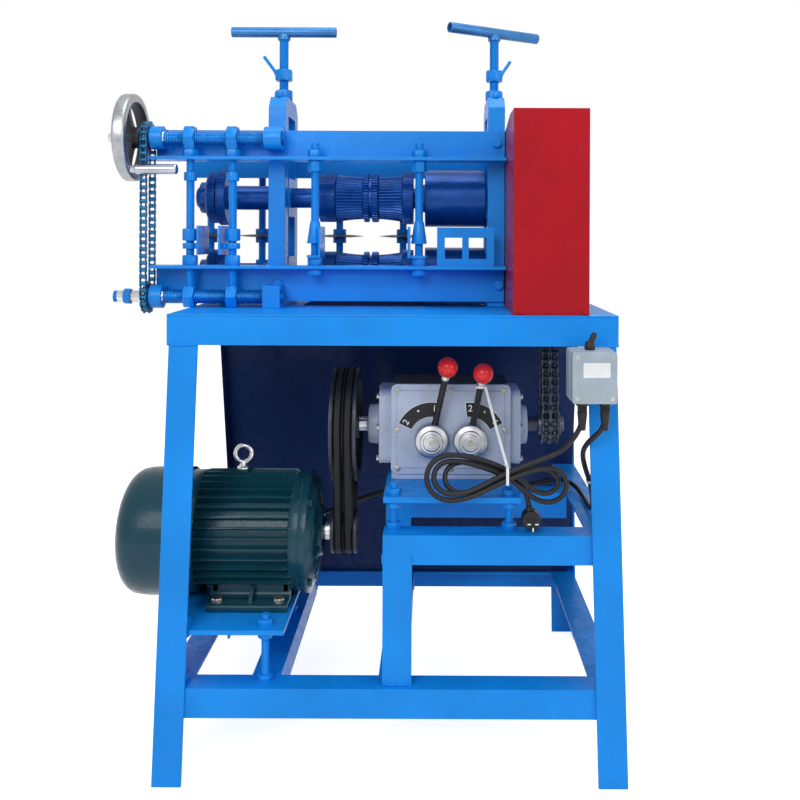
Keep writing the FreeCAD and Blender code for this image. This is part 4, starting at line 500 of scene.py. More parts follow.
def metal(name, colour, rough, drawn, marks, tint=None, metallic=1.0):
    """Worked steel: fine drawn marks that change gloss and height, with cloudy oil and dull patches."""
    material, tree, shader, where = new_finish(name, colour, metallic, rough)
    lines = noise(tree, stretched(tree, where, drawn), 320.0, 5, 0.7)
    clouds = ranged(tree, noise(tree, where, 26.0, 5), 0.3, 0.72, 0.0, 1.0)
    body = mixed(tree, clouds, shaded(colour, 0.78), shaded(colour, 1.12))
    spots = ranged(tree, noise(tree, where, 150.0, 7, 0.7), 0.56, 0.7, 0.0, marks)
    body = mixed(tree, spots, body, tint or shaded(colour, 0.42))
    tree.links.new(body, shader.inputs["Base Color"])
    tree.links.new(ranged(tree, lines, 0.25, 0.75, rough * 0.7, rough * 1.6), shader.inputs["Roughness"])
    raised(tree, shader, ((lines, 0.22, 0.0002), (spots, 0.2, -0.0002)))
    return material


def cast(name, colour, rough, grain):
    """Painted casting: the sand's coarse grain under a satin coat, a little dirt in the hollows."""
    material, tree, shader, where = new_finish(name, colour, 0.0, rough, 0.15, 0.2)
    sand = noise(tree, where, 260.0, 4, 0.6)
    pits = ranged(tree, noise(tree, where, 95.0, 6, 0.7), 0.58, 0.74, 0.0, 0.75)
    clouds = ranged(tree, noise(tree, where, 11.0, 3), 0.3, 0.7, 0.0, 1.0)
    body = mixed(tree, clouds, shaded(colour, 0.88), shaded(colour, 1.08))
    body = mixed(tree, pits, body, shaded(colour, 0.5))
    tree.links.new(body, shader.inputs["Base Color"])
    tree.links.new(ranged(tree, sand, 0.3, 0.7, rough * 0.8, rough * 1.35), shader.inputs["Roughness"])
    raised(tree, shader, ((sand, grain, 0.0007), (noise(tree, where, 42.0, 3), 0.3, 0.0015)))
    return material


def plastic(name, colour, rough, grain=900.0, depth=0.25, wear=0.35):
    """Moulded plastic or rubber: a fine even grain, slight marbling and rubbed patches."""
    material, tree, shader, where = new_finish(name, colour, 0.0, rough)
    tone = ranged(tree, noise(tree, where, 20.0, 4), 0.3, 0.7, 0.0, 1.0)
    body = mixed(tree, tone, shaded(colour, 0.88), shaded(colour, 1.1))
    rub = ranged(tree, noise(tree, where, 120.0, 7, 0.65), 0.58, 0.72, 0.0, wear)
    body = mixed(tree, rub, body, dusty(colour, 0.8, 0.06))
    tree.links.new(body, shader.inputs["Base Color"])
    tree.links.new(ranged(tree, rub, 0.0, 0.4, rough, rough * 1.4), shader.inputs["Roughness"])
    raised(tree, shader, ((noise(tree, where, grain, 2), depth, 0.0002),))
    return material


def make_paints(pick, blue):
    """The machine's paints, from the editable colours."""
    paint("frame_blue", blue)
    paint("head_blue", shaded(blue, 0.96), rough=0.34, coat=0.12, grime=0.2, chips=0.68)
    # The chute's dark navy is the blue paint with the shade under the table painted into its colour.
    paint("chute_shaded_blue", linear(pick.chute_shaded_blue), rough=0.55, grime=0.2)
    paint("cover_red", linear(pick.cover_red), rough=0.26, coat=0.08, grime=0.05, specular=0.14)
    paint("motor_green", linear(pick.motor_green), rough=0.24, coat=0.14, peel=0.5, grime=0.08, specular=0.16)
    cast("gearbox_grey", linear(pick.gearbox_grey), 0.36, 0.5)


def make_metals(pick, blue):
    """Steel, alloy and chrome, with thin paint worn off where the parts rub."""
    even = (1, 1, 1)
    turned_way = (0.3, 1, 1)
    metal("roller_blue", linear(pick.roller_blue), 0.26, (0.25, 1, 1), 0.3, shaded(blue, 0.3), 0.3)
    metal("thread_blue", linear((0.10, 0.46, 0.76)), 0.24, turned_way, 0.5, shaded(blue, 0.3), 0.5)
    metal("wheel_alloy", (0.36, 0.375, 0.39), 0.3, turned_way, 0.1, (0.26, 0.27, 0.29))
    metal("turned_steel", (0.56, 0.57, 0.58), 0.24, (0.3, 1.4, 1.4), 0.4)
    metal("zinc_steel", (0.47, 0.46, 0.42), 0.34, even, 0.6)
    metal("dark_steel", (0.045, 0.05, 0.06), 0.42, even, 0.5, metallic=0.7)
    metal("chain_steel", (0.10, 0.115, 0.15), 0.36, even, 0.6, (0.02, 0.03, 0.06), 0.85)
    metal("chain_blue", linear((0.14, 0.42, 0.60)), 0.34, even, 0.6, (0.01, 0.03, 0.08), 0.5)
    metal("chrome", (0.36, 0.38, 0.43), 0.2, turned_way, 0.1)
    metal("handle_blue", linear(pick.handle_blue), 0.3, even, 0.4, shaded(blue, 0.5), 0.4)
    metal("knife_steel", (0.03, 0.04, 0.06), 0.48, (1, 1, 0.2), 0.3, metallic=0.5)
    metal("lever_alloy", (0.50, 0.51, 0.53), 0.34, (1, 0.4, 1), 0.15)


def make_plastics(pick):
    """Rubber, cord sheath, box, balls, dials and ties."""
    plastic("belt_rubber", (0.012, 0.012, 0.013), 0.62, 500.0, 0.5, 0.6)
    plastic("black_plastic", (0.014, 0.014, 0.016), 0.38)
    plastic("cord_sheath", (0.013, 0.013, 0.016), 0.46, 700.0, 0.3, 0.3)
    plastic("switch_grey", linear(pick.switch_grey), 0.4, 600.0, 0.3, 0.2)
    plastic("knob_red", linear(pick.knob_red), 0.12, 200.0, 0.05, 0.1)
    plastic("dial_black", (0.014, 0.014, 0.017), 0.34)
    plastic("mark_white", (0.82, 0.83, 0.84), 0.5)
    plastic("tie_nylon", (0.74, 0.76, 0.77), 0.32)


def make_finishes():
    """Every finish of the machine."""
    pick = colours()
    blue = linear(pick.frame_blue)
    make_paints(pick, blue)
    make_metals(pick, blue)
    make_plastics(pick)


def seen_ray(tree):
    """One for rays from the camera, from gloss and through clear things, and nought for the rest."""
    path = tree.nodes.new("ShaderNodeLightPath")
    shown = combined(tree, "MAXIMUM", path.outputs["Is Camera Ray"], path.outputs["Is Glossy Ray"])
    return combined(tree, "MAXIMUM", shown, path.outputs["Is Transmission Ray"])


def chosen(tree, plain, seen, result):
    """One shader for rays that light the machine and another for rays that see the ground or the sky."""
    node = tree.nodes.new("ShaderNodeMixShader")
    tree.links.new(seen_ray(tree), node.inputs[0])
    tree.links.new(plain, node.inputs[1])
    tree.links.new(seen, node.inputs[2])
    tree.links.new(node.outputs[0], result)


def white_ground(name, strength):
    """A pale ground that takes shadows, lifted to white for the rays that see it."""
    material, tree, shader, where = new_finish(name, (0.9, 0.9, 0.9), 0.0, 0.7)
    tone = ranged(tree, noise(tree, where, 1.4, 3), 0.3, 0.7, 0.0, 1.0)
    tree.links.new(mixed(tree, tone, (0.88, 0.88, 0.885), (0.92, 0.92, 0.92)), shader.inputs["Base Color"])
    lit = tree.nodes.new("ShaderNodeEmission")
    lit.inputs["Strength"].default_value = strength
    both = tree.nodes.new("ShaderNodeAddShader")
    tree.links.new(shader.outputs[0], both.inputs[0])
    tree.links.new(lit.outputs[0], both.inputs[1])
    chosen(tree, shader.outputs[0], both.outputs[0], tree.nodes["Material Output"].inputs["Surface"])
    return material


# Stage: the camera's lens is in pixels of the photograph, and its places are in metres
LENS_PIXELS = 905
PHOTO_PIXELS = 800
CAMERA_PLACE = (0.1412, -1.7975, 0.925)
CAMERA_ROLL = math.radians(-0.25)
FLOOR_REACH = 6.0
FLOOR_DROP = 0.0005


def area_light(name, place, aim, size, power):
    """A soft square lamp at a place, facing a point."""
    lamp = bpy.data.lights.new(name, "AREA")
    lamp.shape = "SQUARE"
    lamp.size = size
    lamp.energy = power
    item = bpy.data.objects.new(name, lamp)
    bpy.context.scene.collection.objects.link(item)
    item.location = place
    way = np.array(place, float) - np.array(aim, float)
    flat = math.hypot(way[0], way[1])
    item.rotation_euler = (math.atan2(flat, way[2]), 0, math.atan2(way[1], way[0]) + math.pi / 2)
    return item


def build_floor(scene):
    """A wide pale floor just under the feet."""
    floor = bpy.data.meshes.new("floor")
    corners = np.array([(-1, -1, 0), (1, -1, 0), (1, 1, 0), (-1, 1, 0)], float) * FLOOR_REACH
    floor.from_pydata((corners - (0, 0, FLOOR_DROP)).tolist(), [], [(0, 1, 2, 3)])
    floor.materials.append(white_ground("pale_floor", 0.8))
    item = bpy.data.objects.new("floor", floor)
    scene.collection.objects.link(item)


def build_world(scene):
    """An even pale sky, white where it is seen."""
    world = bpy.data.worlds.new("studio")
    scene.world = world
    world.use_nodes = True
    tree = world.node_tree
    plain = tree.nodes["Background"]
    plain.inputs["Color"].default_value = (0.93, 0.96, 1.0, 1)
    plain.inputs["Strength"].default_value = sizes().sky_level
    seen = tree.nodes.new("ShaderNodeBackground")
    seen.inputs["Color"].default_value = (1, 1, 1, 1)
    seen.inputs["Strength"].default_value = 1.0
    chosen(tree, plain.outputs[0], seen.outputs[0], tree.nodes["World Output"].inputs["Surface"])


def build_stage():
    """The pale floor, the white world, soft lamps and the camera at the photograph's angle."""
    scene = bpy.context.scene
    scene.view_settings.view_transform = "Standard"
    build_floor(scene)
    build_world(scene)
    level = sizes().lamp_level
    area_light("front_lamp", (-0.9, -3.2, 2.4), (0.0, 0.0, 0.75), 1.8, 95 * level)
    area_light("side_lamp", (2.6, -2.2, 1.7), (0.1, 0.0, 0.7), 1.6, 42 * level)
    area_light("top_lamp", (0.2, -0.4, 3.2), (0.0, 0.0, 0.9), 1.6, 50 * level)
    lens = bpy.data.cameras.new("camera")
    lens.sensor_width = 36
    lens.lens = lens.sensor_width * LENS_PIXELS / PHOTO_PIXELS
    lens.shift_x = -0.0425
    lens.shift_y = -0.2044
    camera = bpy.data.objects.new("camera", lens)
    scene.collection.objects.link(camera)
    camera.location = CAMERA_PLACE
    camera.rotation_euler = (math.pi / 2, CAMERA_ROLL, 0)
    scene.camera = camera


# Cords
SUPPLY_ROUTE = [
    (318, -315, 652.8), (318, -315, 618), (311, -312, 599), (300, -302, 580), (284.1, -293.4, 562.2),
    (262.0, -292.0, 553.0), (241.5, -290.7, 544.5), (220.9, -289.5, 536.4), (200.5, -288.7, 527.7),
    (180.6, -288.4, 517.9), (160.9, -288.4, 507.4), (140.7, -288.6, 497.4), (119.2, -289.0, 489.9),
    (97.0, -288.5, 488.4), (78.3, -285.6, 496.6), (69.9, -279.4, 513.4), (75.8, -272.9, 530.7),
    (93.1, -269.2, 540.2), (115.2, -268.4, 540.1), (137.7, -268.6, 535.0), (159.4, -268.8, 528.5),
    (180.3, -268.8, 521.0), (200.0, -268.8, 511.0), (218.0, -268.8, 497.6), (235.2, -268.8, 482.7),
    (254.0, -269.5, 471.7), (274.5, -272.1, 470.8), (291.4, -276.6, 481.9), (298.7, -281.8, 501.1),
    (293.5, -286.0, 520.9), (277.9, -288.2, 533.3), (256.8, -288.8, 534.4), (234.5, -288.6, 528.2),
    (213.0, -288.5, 520.3), (192.4, -288.5, 511.9), (172.5, -288.5, 502.2), (152.6, -288.5, 492.1),
    (131.7, -288.6, 483.5), (109.7, -288.8, 478.1), (87.6, -288.1, 478.7), (69.1, -285.4, 488.4),
    (58.9, -280.5, 506.1), (60.3, -275.0, 526.5), (72.8, -270.7, 542.7), (92.6, -268.8, 550.4),
    (115.0, -268.5, 550.5), (137.5, -268.7, 546.5), (159.2, -268.8, 540.8), (180.1, -268.8, 533.2),
    (199.8, -268.8, 523.1), (218.2, -268.7, 510.0), (235.9, -268.6, 495.3), (254.9, -269.2, 485.0),
    (273.8, -271.1, 486.9), (284.9, -274.1, 501.7), (281.4, -277.0, 519.9), (265.1, -278.5, 530.5),
    (243.2, -278.8, 530.7), (220.6, -278.7, 525.4), (199.1, -278.6, 518.6), (178.6, -278.6, 509.9),
    (158.4, -278.7, 499.9), (137.2, -279.0, 491.1), (115.3, -278.7, 487.7), (96.8, -275.8, 494.9),
    (89.0, -269.6, 511.2), (95.6, -262.9, 528.0), (113.5, -259.2, 536.4), (135.8, -258.5, 535.5),
    (158.2, -258.8, 530.3), (179.7, -259.0, 523.1), (200.0, -259.0, 513.3), (218.3, -259.0, 500.2),
    (232.1, -259.0, 483.4), (236.0, -259.0, 462.0),
]
LEAD_ROUTE = [
    (356, -315, 652.8), (356, -315, 620), (350, -312, 602), (338, -302, 588), (329, -284, 572),
    (327, -262, 552), (334, -246, 526), (345, -232, 498), (354, -212, 462), (359, -182, 436),
    (361, -142, 423.6), (362, -96, 421.8), (361, -50, 422.4), (356, -14, 427), (344, 12, 431),
    (324, 30, 431), (298, 38, 423), (246, 36, 412), (180, 35.6, 409), (110, 35.8, 410), (44, 35.4, 408.6),
    (-16, 36.5, 405), (-68, 40, 390), (-118, 43, 369), (-164, 45, 352), (-204, 45, 348), (-239.7, 45, 348),
]


def cord_curve(name, route, thick, *stands_for):
    """A round cord in place of packed ones: an open curve of order three with the route as its controls."""
    curve = bpy.data.curves.new(name, "CURVE")
    curve.dimensions = "3D"
    spline = curve.splines.new("NURBS")
    places = np.array(route, float) / 1000 + MIDDLE
    spline.points.add(len(places) - 1)
    spline.points.foreach_set("co", np.column_stack([places, np.ones(len(places))]).ravel())
    spline.order_u = 3
    spline.use_endpoint_u = True
    spline.resolution_u = 10
    curve.bevel_depth = thick / 2000
    curve.bevel_resolution = 4
    curve.use_fill_caps = True
    curve.materials.append(FINISHES["cord_sheath"])
    item = bpy.data.objects.new(name, curve)
    bpy.context.scene.collection.objects.link(item)
    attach(item, "table")
    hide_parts(*stands_for)
    return item


def strain_relief(centre, top, low, thick):
    """A ribbed sleeve under a gland: the radius falls along it, with a sine's square for its ribs."""
    along = np.linspace(top, low, 41)
    share = (top - along) / (top - low)
    radius = thick * (0.92 - 0.34 * share) + 0.45 * np.sin(share * 7 * 2 * np.pi) ** 2
    profile = np.concatenate([[[top, thick * 0.5]], np.stack([along, radius], 1), [[low, thick * 0.52]]])
    return turned("Z", centre, profile, 28)


def build_cords():
    """The supply cord with its hank and plug, the motor lead, their strain reliefs and the ties."""
    thick = sizes().cord_width
    supply = cord_curve("supply_lead", SUPPLY_ROUTE, thick, "supply_cord", "cord_hank")
    lead = cord_curve("motor_cord", LEAD_ROUTE, thick, "motor_lead")
    reliefs = [strain_relief(route[0][:2], 634.5, 604, thick) for route in (SUPPLY_ROUTE, LEAD_ROUTE)]
    piece("strain_reliefs", in_finish(FINISHES["black_plastic"], *reliefs), "table",
          smooth=50)
    plug = build_plug()
    build_ties()


def build_plug():
    """The moulded plug: a waisted housing turned about its depth, a ribbed neck, and three flat pins."""
    housing = [(-270, 8.0), (-270, 14.6), (-268.6, 16.1), (-264, 16.5), (-262, 15.2), (-258, 14.8),
               (-254, 15.3), (-250, 16.3), (-243, 16.4), (-240.6, 15.2), (-240, 12.0), (-240, 8.0)]
    body = lathe("Y", (240, 438), housing, 1.2, 44)
    along = np.linspace(446, 461, 22)
    share = (along - 446) / 15
    radius = 6.5 - 0.9 * share - 0.6 * np.sin(share * 4 * np.pi) ** 2
    sleeve = np.concatenate([[[446, 3]], np.stack([along, radius], 1), [[461, 4.4]]])
    neck = turned("Z", (236, -259), sleeve, 24)
    pins = (slab(230.5, 236.5, -288, -269, 437, 439, 0.8, "Y"),
            slab(243.5, 249.5, -288, -269, 437, 439, 0.8, "Y"),
            slab(239, 241, -290, -269, 426, 433, 0.8, "Y"))
    forms = in_finish(FINISHES["black_plastic"], body, neck) + in_finish(FINISHES["turned_steel"], *pins)
    return piece("moulded_plug", forms, "table", "supply_plug", smooth=50)


def build_ties():
    """Nylon ties: a band round the hank's crossing, a strap up to the lever's neck, and small loops."""
    band = softened([(-295.8, 504.6), (-252.2, 504.6), (-252.2, 535.6), (-295.8, 535.6)], 4.5, 4)
    inner = softened([(-294.4, 506.0), (-253.6, 506.0), (-253.6, 534.2), (-294.4, 534.2)], 3.6, 4)
    rows = np.stack([spatial("X", at, ring[:, 0], ring[:, 1])
                     for at, ring in ((193.6, band), (198.4, band), (198.4, inner), (193.6, inner))])
    loop = outward(rows.reshape(-1, 3), [cells(4, rows.shape[1], round_rows=True)])
    top = np.array((164, -192, 654.0))
    foot = np.array((196, -277, 535.4))
    share = np.linspace(0, 1, 14)[:, None]
    path = top + (foot - top) * share + np.array((0, 0, -2.0)) * np.sin(np.pi * share)
    strap = swept([(-2.3, -0.6), (2.3, -0.6), (2.3, 0.6), (-2.3, 0.6)], path)
    neck = turned("Z", (155.5, -187), [(652, 8.5), (652, 9.5), (656, 9.5), (656, 8.5)], 36, ring=True)
    clip = rod((344.5, -232.9, 499.7), (345.5, -231.1, 496.3), [(0, 4.9), (0, 6.6), (1, 6.6), (1, 4.9)], 28)
    piece("nylon_ties", in_finish(FINISHES["tie_nylon"], loop, strap, neck, clip), "table", "cord_ties",
          smooth=50)


# Table and stand
BASE_RAIL_TOP = 160
STAND_TOP = 416
MOTOR_PLATE_TOP = 254.5
GEAR_PLATE_TOP = 474.5


def build_table():
    """The welded table, base rails, gearbox stand, plates and chute, with their edges eased."""
    blue = FINISHES["frame_blue"]
    ease = sizes().edge_ease
    for node in ("left_legs", "right_legs", "table_apron", "table_top", "base_rails", "gearbox_stand"):
        merged_copy(f"{node}_steel", node, blue, "table", ease if node != "table_top" else 0.7)
    merged_copy("mounting_plate_steel", "mounting_plates", blue, "table", 0.9)
    # The chute takes the blue paint darkened by painted shade.
    merged_copy("chute_sheet", "chute", FINISHES["chute_shaded_blue"], "table", 0.5)
    build_welds()


def bead(start, end, radius=3.0, ripples=9):
    """A weld bead: a rod whose radius swells with a cosine for every ripple and fades at both ends."""
    share = np.linspace(0, 1, ripples * 6 + 1)
    swell = 0.84 + 0.16 * np.cos(share * ripples * 2 * np.pi)
    ends = np.clip(np.minimum(share, 1 - share) * 14, 0.15, 1) ** 0.5
    return rod(start, end, np.stack([share, radius * swell * ends], 1), 12)


def build_welds():
    """Painted weld beads where legs, rails and stand meet."""
    beads = []
    for side in (-1, 1):
        for back in (-1, 1):
            head_x = 384.0 * side
            head_y = 270.0 * back
            edge_y = head_y + 0.5 * back
            beads.append(bead((head_x - 3 * side, edge_y, 738), (head_x - 48 * side, edge_y, 738)))
            edge_x = 387.5 * side
            beads.append(bead((edge_x, head_y - 6 * back, 737.5), (edge_x, head_y - 46 * back, 737.5)))
            low_x = 394.5 * side
            low_y = 296.5 * back
            low_end = (low_x - 46 * side, low_y - 4 * back, 111)
            beads.append(bead(low_end, (low_x - 45 * side, low_y - 5 * back, 159), 2.6))
    for x in (-243, -193, -23, 27):
        for y in (-242.3, 242.3):
            beads.append(bead((x, y, 158.5), (x, y, 118), 2.6))
    for x in (-15, 35):
        beads.append(bead((x, -279.5, 367), (x, -279.5, 384), 2.4, 5))
    for y in (-280, -235):
        beads.append(bead((-10, y, 161.5), (30, y, 161.5), 2.6))
    piece("weld_beads", in_finish(FINISHES["frame_blue"], *beads), "table", smooth=60)


def stud_set(spots, rail_top, plate_top, plate_thick):
    """Level setting studs with chamfered nuts and washers over and under the rail and the plate."""
    forms = []
    bottoms = (rail_top - 17, rail_top, plate_top - plate_thick - 12, plate_top)
    for index, spot in enumerate(spots):
        forms.append(thread("Z", spot, rail_top - 25, plate_top + 20, 7.0, 2.0, 0.8, 18))
        for level, bottom in enumerate(bottoms):
            turn = math.radians(15 * level + 11 * index)
            above = level % 2 == 1
            washer = bottom if above else bottom + 10.4
            nut_low, nut_high = (bottom + 1.6, bottom + 12) if above else (bottom, bottom + 10.4)
            forms.append(hex_nut("Z", spot, nut_low, nut_high, 23.0, turn))
            section = [(washer, 7.2), (washer, 13.4), (washer + 0.3, 13.8), (washer + 1.3, 13.8),
                       (washer + 1.6, 13.4), (washer + 1.6, 7.2)]
            forms.append(turned("Z", spot, section, 36, ring=True))
    return in_finish(FINISHES["frame_blue"], *forms)


# Motor
FIN_CORE = 98
FIN_TIP = 113
SHIELD_RADIUS = 111.5
MOTOR_BACK, MOTOR_HEIGHT = MOTOR


def fin_wave(count, width):
    """Cooling fins: from core to tip radius with steep flanks, count to the turn, none under the barrel."""
    def wave(along, angle, radius):
        pitch = 2 * np.pi / count
        near = (angle + pitch / 2) % pitch - pitch / 2
        side = (width / 2 - np.abs(near) * FIN_TIP) / 0.9
        turn = np.degrees(angle) % 360
        rise = np.clip(side + 0.5, 0, 1) * ((turn < 225) | (turn > 315))
        return np.minimum(radius, FIN_CORE + (FIN_TIP - FIN_CORE) * rise)
    return wave


def build_motor():
    """The finned motor with its end shields, fan cover, terminal box, rotor and fixings."""
    build_barrel()
    build_shields()
    build_fan_cover()
    build_terminal_box()
    build_motor_fixings()
    build_rotor()


def build_barrel():
    """The barrel with its fins, a plain band, two feet with gussets and the pad of the terminal box."""
    count = sizes().motor_fins
    barrel = [(-360, 60), (-360, 111.5), (-358.5, FIN_TIP), (-192, FIN_TIP), (-184, 108.4), (-184, 60)]
    band = [(-190, 60), (-190, 106), (-186, 108.4), (-172, 108.4), (-172, 60)]
    forms = [turned("X", MOTOR, barrel, count * 20, fin_wave(count, 3.0)), turned("X", MOTOR, band, 112)]
    foot = np.array([(112, 254.5), (112, 266), (106, 268.5), (78, 268.5), (72, 275), (72, 316.5), (62, 316.5),
                     (62, MOTOR_PLATE_TOP)])
    gusset = np.array([(72, 268), (104, 268), (74, 300), (72, 300)])
    for way in (-1, 1):
        forms.append(extruded("X", softened(foot * (way, 1) + (MOTOR_BACK, 0), 3.0), -333, -189))
    for x in (-329, -201):
        forms.append(slab(x, x + 8, -172, -28, MOTOR_PLATE_TOP, 316, 6, "X"))
    for way in (-1, 1):
        forms.append(extruded("X", softened(gusset * (way, 1) + (MOTOR_BACK, 0), 1.5), -259, -253))
    forms.append(slab(-336, -244, -20, 14.5, 334.5, 420.5, 8, "Y"))
    piece("motor_barrel", in_finish(FINISHES["motor_green"], *forms), "table", "motor_body",
          smooth=42)


def build_shields():
    """Cast end shields: dished faces turned about the shaft, with ribs, lugs and hexagon bolts."""
    right = [(-172, 96), (-172, 110.7), (-171, SHIELD_RADIUS), (-158, SHIELD_RADIUS), (-156, 109.5),
             (-155, 100), (-151, 94), (-146, 90), (-145, 60), (-143, 50), (-138, 44.5), (-136.5, 43.5),
             (-136, 42), (-136, 30), (-138.5, 28), (-138.5, 14.6), (-150, 14.6)]
    left = [(-360, 96), (-360, 110.7), (-361, SHIELD_RADIUS), (-387, SHIELD_RADIUS), (-388, 110.5),
            (-388, 20)]
    rib = extruded("Y", softened([(-156, 86), (-147, 87), (-139, 48), (-139, 40), (-156, 40)], 1.5), -3, 3)
    forms = [turned("X", MOTOR, right, 96), turned("X", MOTOR, left, 96), round_shaft(rib, MOTOR, 8, 22.5)]
    lug = [(-174, 0.5), (-174, 7.6), (-154.5, 7.6), (-154.5, 0.5)]
    for way in np.radians((45, 135, 225, 315)):
        spot = (MOTOR_BACK + 103 * math.cos(way), MOTOR_HEIGHT + 103 * math.sin(way))
        forms.append(lathe("X", spot, lug, 0.8, 24))
        forms.append(hex_nut("X", spot, -154.6, -149.5, 12.0, way))
    piece("motor_shields", in_finish(FINISHES["motor_green"], *forms), "table", "motor_end_shields",
          smooth=42)


def build_fan_cover():
    """The pressed fan cover: a turned sheet with a rolled shoulder and a guard of rings and bars."""
    sheet = [(-388, 116.5), (-454, 116.5), (-468, 115.3), (-480, 113.0), (-489, 107.8), (-496, 101),
             (-500.6, 93.4), (-503.2, 88), (-504, 84.5), (-504, 82), (-502, 82), (-502, 84.6), (-499, 92.4),
             (-494.5, 99.8), (-488, 105.8), (-479.4, 111), (-468, 113.4), (-454, 114.5), (-388, 114.5)]
    band = [(-388, 90), (-388, 114.6), (-392, 114.6), (-392, 90)]
    forms = [turned("X", MOTOR, sheet, 112, ring=True), eased_ring("X", MOTOR, band, 0.8, 96)]
    forms += [torus("X", MOTOR, -502.8, radius, 1.15, 72, 8) for radius in (75, 66, 57, 48, 40)]
    forms.append(round_shaft(slab(-503.8, -501.8, -1.4, 1.4, 38, 84, 0.6, "X"), MOTOR, 12))
    forms.append(lathe("X", MOTOR, [(-504, 0.5), (-504, 39), (-502, 40.5), (-502, 0.5)], 0.5, 48))
    for way in np.radians((40, 140, 220, 320)):
        ray = np.array((0, math.cos(way), math.sin(way)))
        seat = np.array((-400.0, *MOTOR))
        forms.append(rod(seat + 116.0 * ray, seat + 118.0 * ray, [(0, 4.4), (0.5, 4.4), (1, 3.2)], 20))
    piece("fan_cover", in_finish(FINISHES["motor_green"], *forms), "table", "motor_fan_cover",
          smooth=42)


def build_terminal_box():
    """The terminal box behind the motor: a body, a lid with a raised middle, screws and a cable entry."""
    forms = in_finish(FINISHES["motor_green"], slab(-340, -240, 14.5, 70, 322.5, 432.5, 9, "Y"),
                      slab(-342, -238, 70, 76, 320.5, 434.5, 10, "Y"),
                      slab(-326, -254, 75, 75.9, 336, 419, 8, "Y"))
    screw = [(75.6, 0.5), (75.6, 3.6), (75.99, 3.4), (75.99, 0.5)]
    screws = [turned("Y", (x, z), screw, 20) for x in (-332, -248) for z in (330, 425)]
    forms += in_finish(FINISHES["zinc_steel"], *screws)
    piece("terminal_box", forms, "table", "motor_terminal_box", bevel=1.6, segments=3)
    entry = [(-240.5, 4.6), (-240.5, 9.5), (-238.6, 9.5), (-238.0, 7.4), (-238.0, 4.6)]
    piece("cable_entry", in_finish(FINISHES["black_plastic"], lathe("X", (45, 348), entry, 0.5, 24)), "table")


def build_motor_fixings():
    """Studs, nuts, foot bolts and the lifting eye."""
    spots = [(x, y) for x in (-360, -217) for y in (-262, 27)]
    studs = stud_set(spots, BASE_RAIL_TOP, MOTOR_PLATE_TOP, 8)
    piece("motor_plate_studs", studs, "table", smooth=40)
    bolts = []
    washer = [(268.5, 0.5), (268.5, 10.4), (269.8, 10.4), (269.8, 0.5)]
    for index, spot in enumerate(((-316, -195), (-206, -195), (-316, -5), (-206, -5))):
        bolts.append(turned("Z", spot, washer, 32))
        bolts.append(hex_nut("Z", spot, 269.8, 275.5, 18.4, 0.4 * index))
    boss = slab(-300, -278, -111, -89, 474, 483, 3, "Z")
    eye = torus("Y", (-289, 511), MOTOR_BACK, 15.5, 4.4, 56, 20)
    foot = [(482.5, 0.5), (482.5, 12.0), (484, 12.6), (486.4, 12.0), (488, 9.2), (494.5, 5.6), (497.5, 5.0),
            (497.5, 0.5)]
    forms = in_finish(FINISHES["zinc_steel"], *bolts) + in_finish(FINISHES["motor_green"], boss)
    forms += in_finish(FINISHES["turned_steel"], eye, lathe("Z", (-289, MOTOR_BACK), foot, 0.6, 36))
    piece("motor_studs", forms, "table", "motor_fasteners", smooth=40)


# Drive
BELT_MIDDLE = -96.5
BELT_OFFSET = 9.5
PULLEY_LEFT = -121
PULLEY_RIGHT = -72
PULLEY_RIM = 108


def pulley_profile(rim, bore, webbed=False):
    """The section of a pulley with two belt grooves: rims with eased edges, and maybe a thinner web."""
    points = [(PULLEY_LEFT, bore)]
    if webbed:
        points += [(PULLEY_LEFT, bore + 14), (PULLEY_LEFT + 9, bore + 16), (PULLEY_LEFT + 9, rim - 24),
                   (PULLEY_LEFT, rim - 21)]
    points += [(PULLEY_LEFT, rim - 0.8), (PULLEY_LEFT + 0.8, rim)]
    for way in (-1, 1):
        centre = BELT_MIDDLE + BELT_OFFSET * way
        points += [(centre - 9.4, rim), (centre - 8.9, rim - 0.6), (centre - 4.9, rim - 11.4),
                   (centre + 4.9, rim - 11.4), (centre + 8.9, rim - 0.6), (centre + 9.4, rim)]
    points += [(PULLEY_RIGHT - 0.8, rim), (PULLEY_RIGHT, rim - 0.8)]
    if webbed:
        points += [(PULLEY_RIGHT, rim - 21), (PULLEY_RIGHT - 9, rim - 24), (PULLEY_RIGHT - 9, bore + 16),
                   (PULLEY_RIGHT, bore + 14)]
    return points + [(PULLEY_RIGHT, bore)]


def build_rotor():
    """The motor's shaft with its bladed fan and its small belt pulley."""
    shaft = [(-469.6, 0.5), (-469.6, 13), (-468, 14), (-345, 14), (-345, 61), (-187, 61), (-187, 14),
             (-139, 14), (-138, 17), (-121, 17), (-121, 14), (-77, 14), (-76, 13), (-76, 0.5)]
    hub = [(-466, 13.5), (-466, 30), (-436, 34), (-434, 92), (-432, 92), (-432, 13.5)]
    blades = round_shaft(slab(-468, -433, -1.2, 1.2, 28, 93, 0.8, "Y"), MOTOR, 9)
    forms = in_finish(FINISHES["turned_steel"], lathe("X", MOTOR, shaft, 0.4, 40))
    forms += in_finish(FINISHES["dark_steel"], turned("X", MOTOR, pulley_profile(41.5, 14), 72, ring=True))
    forms += in_finish(FINISHES["black_plastic"], eased_ring("X", MOTOR, hub, 1.0, 60, 2), blades)
    piece("rotor_and_fan", forms, "rotor", "motor_rotor", smooth=36)


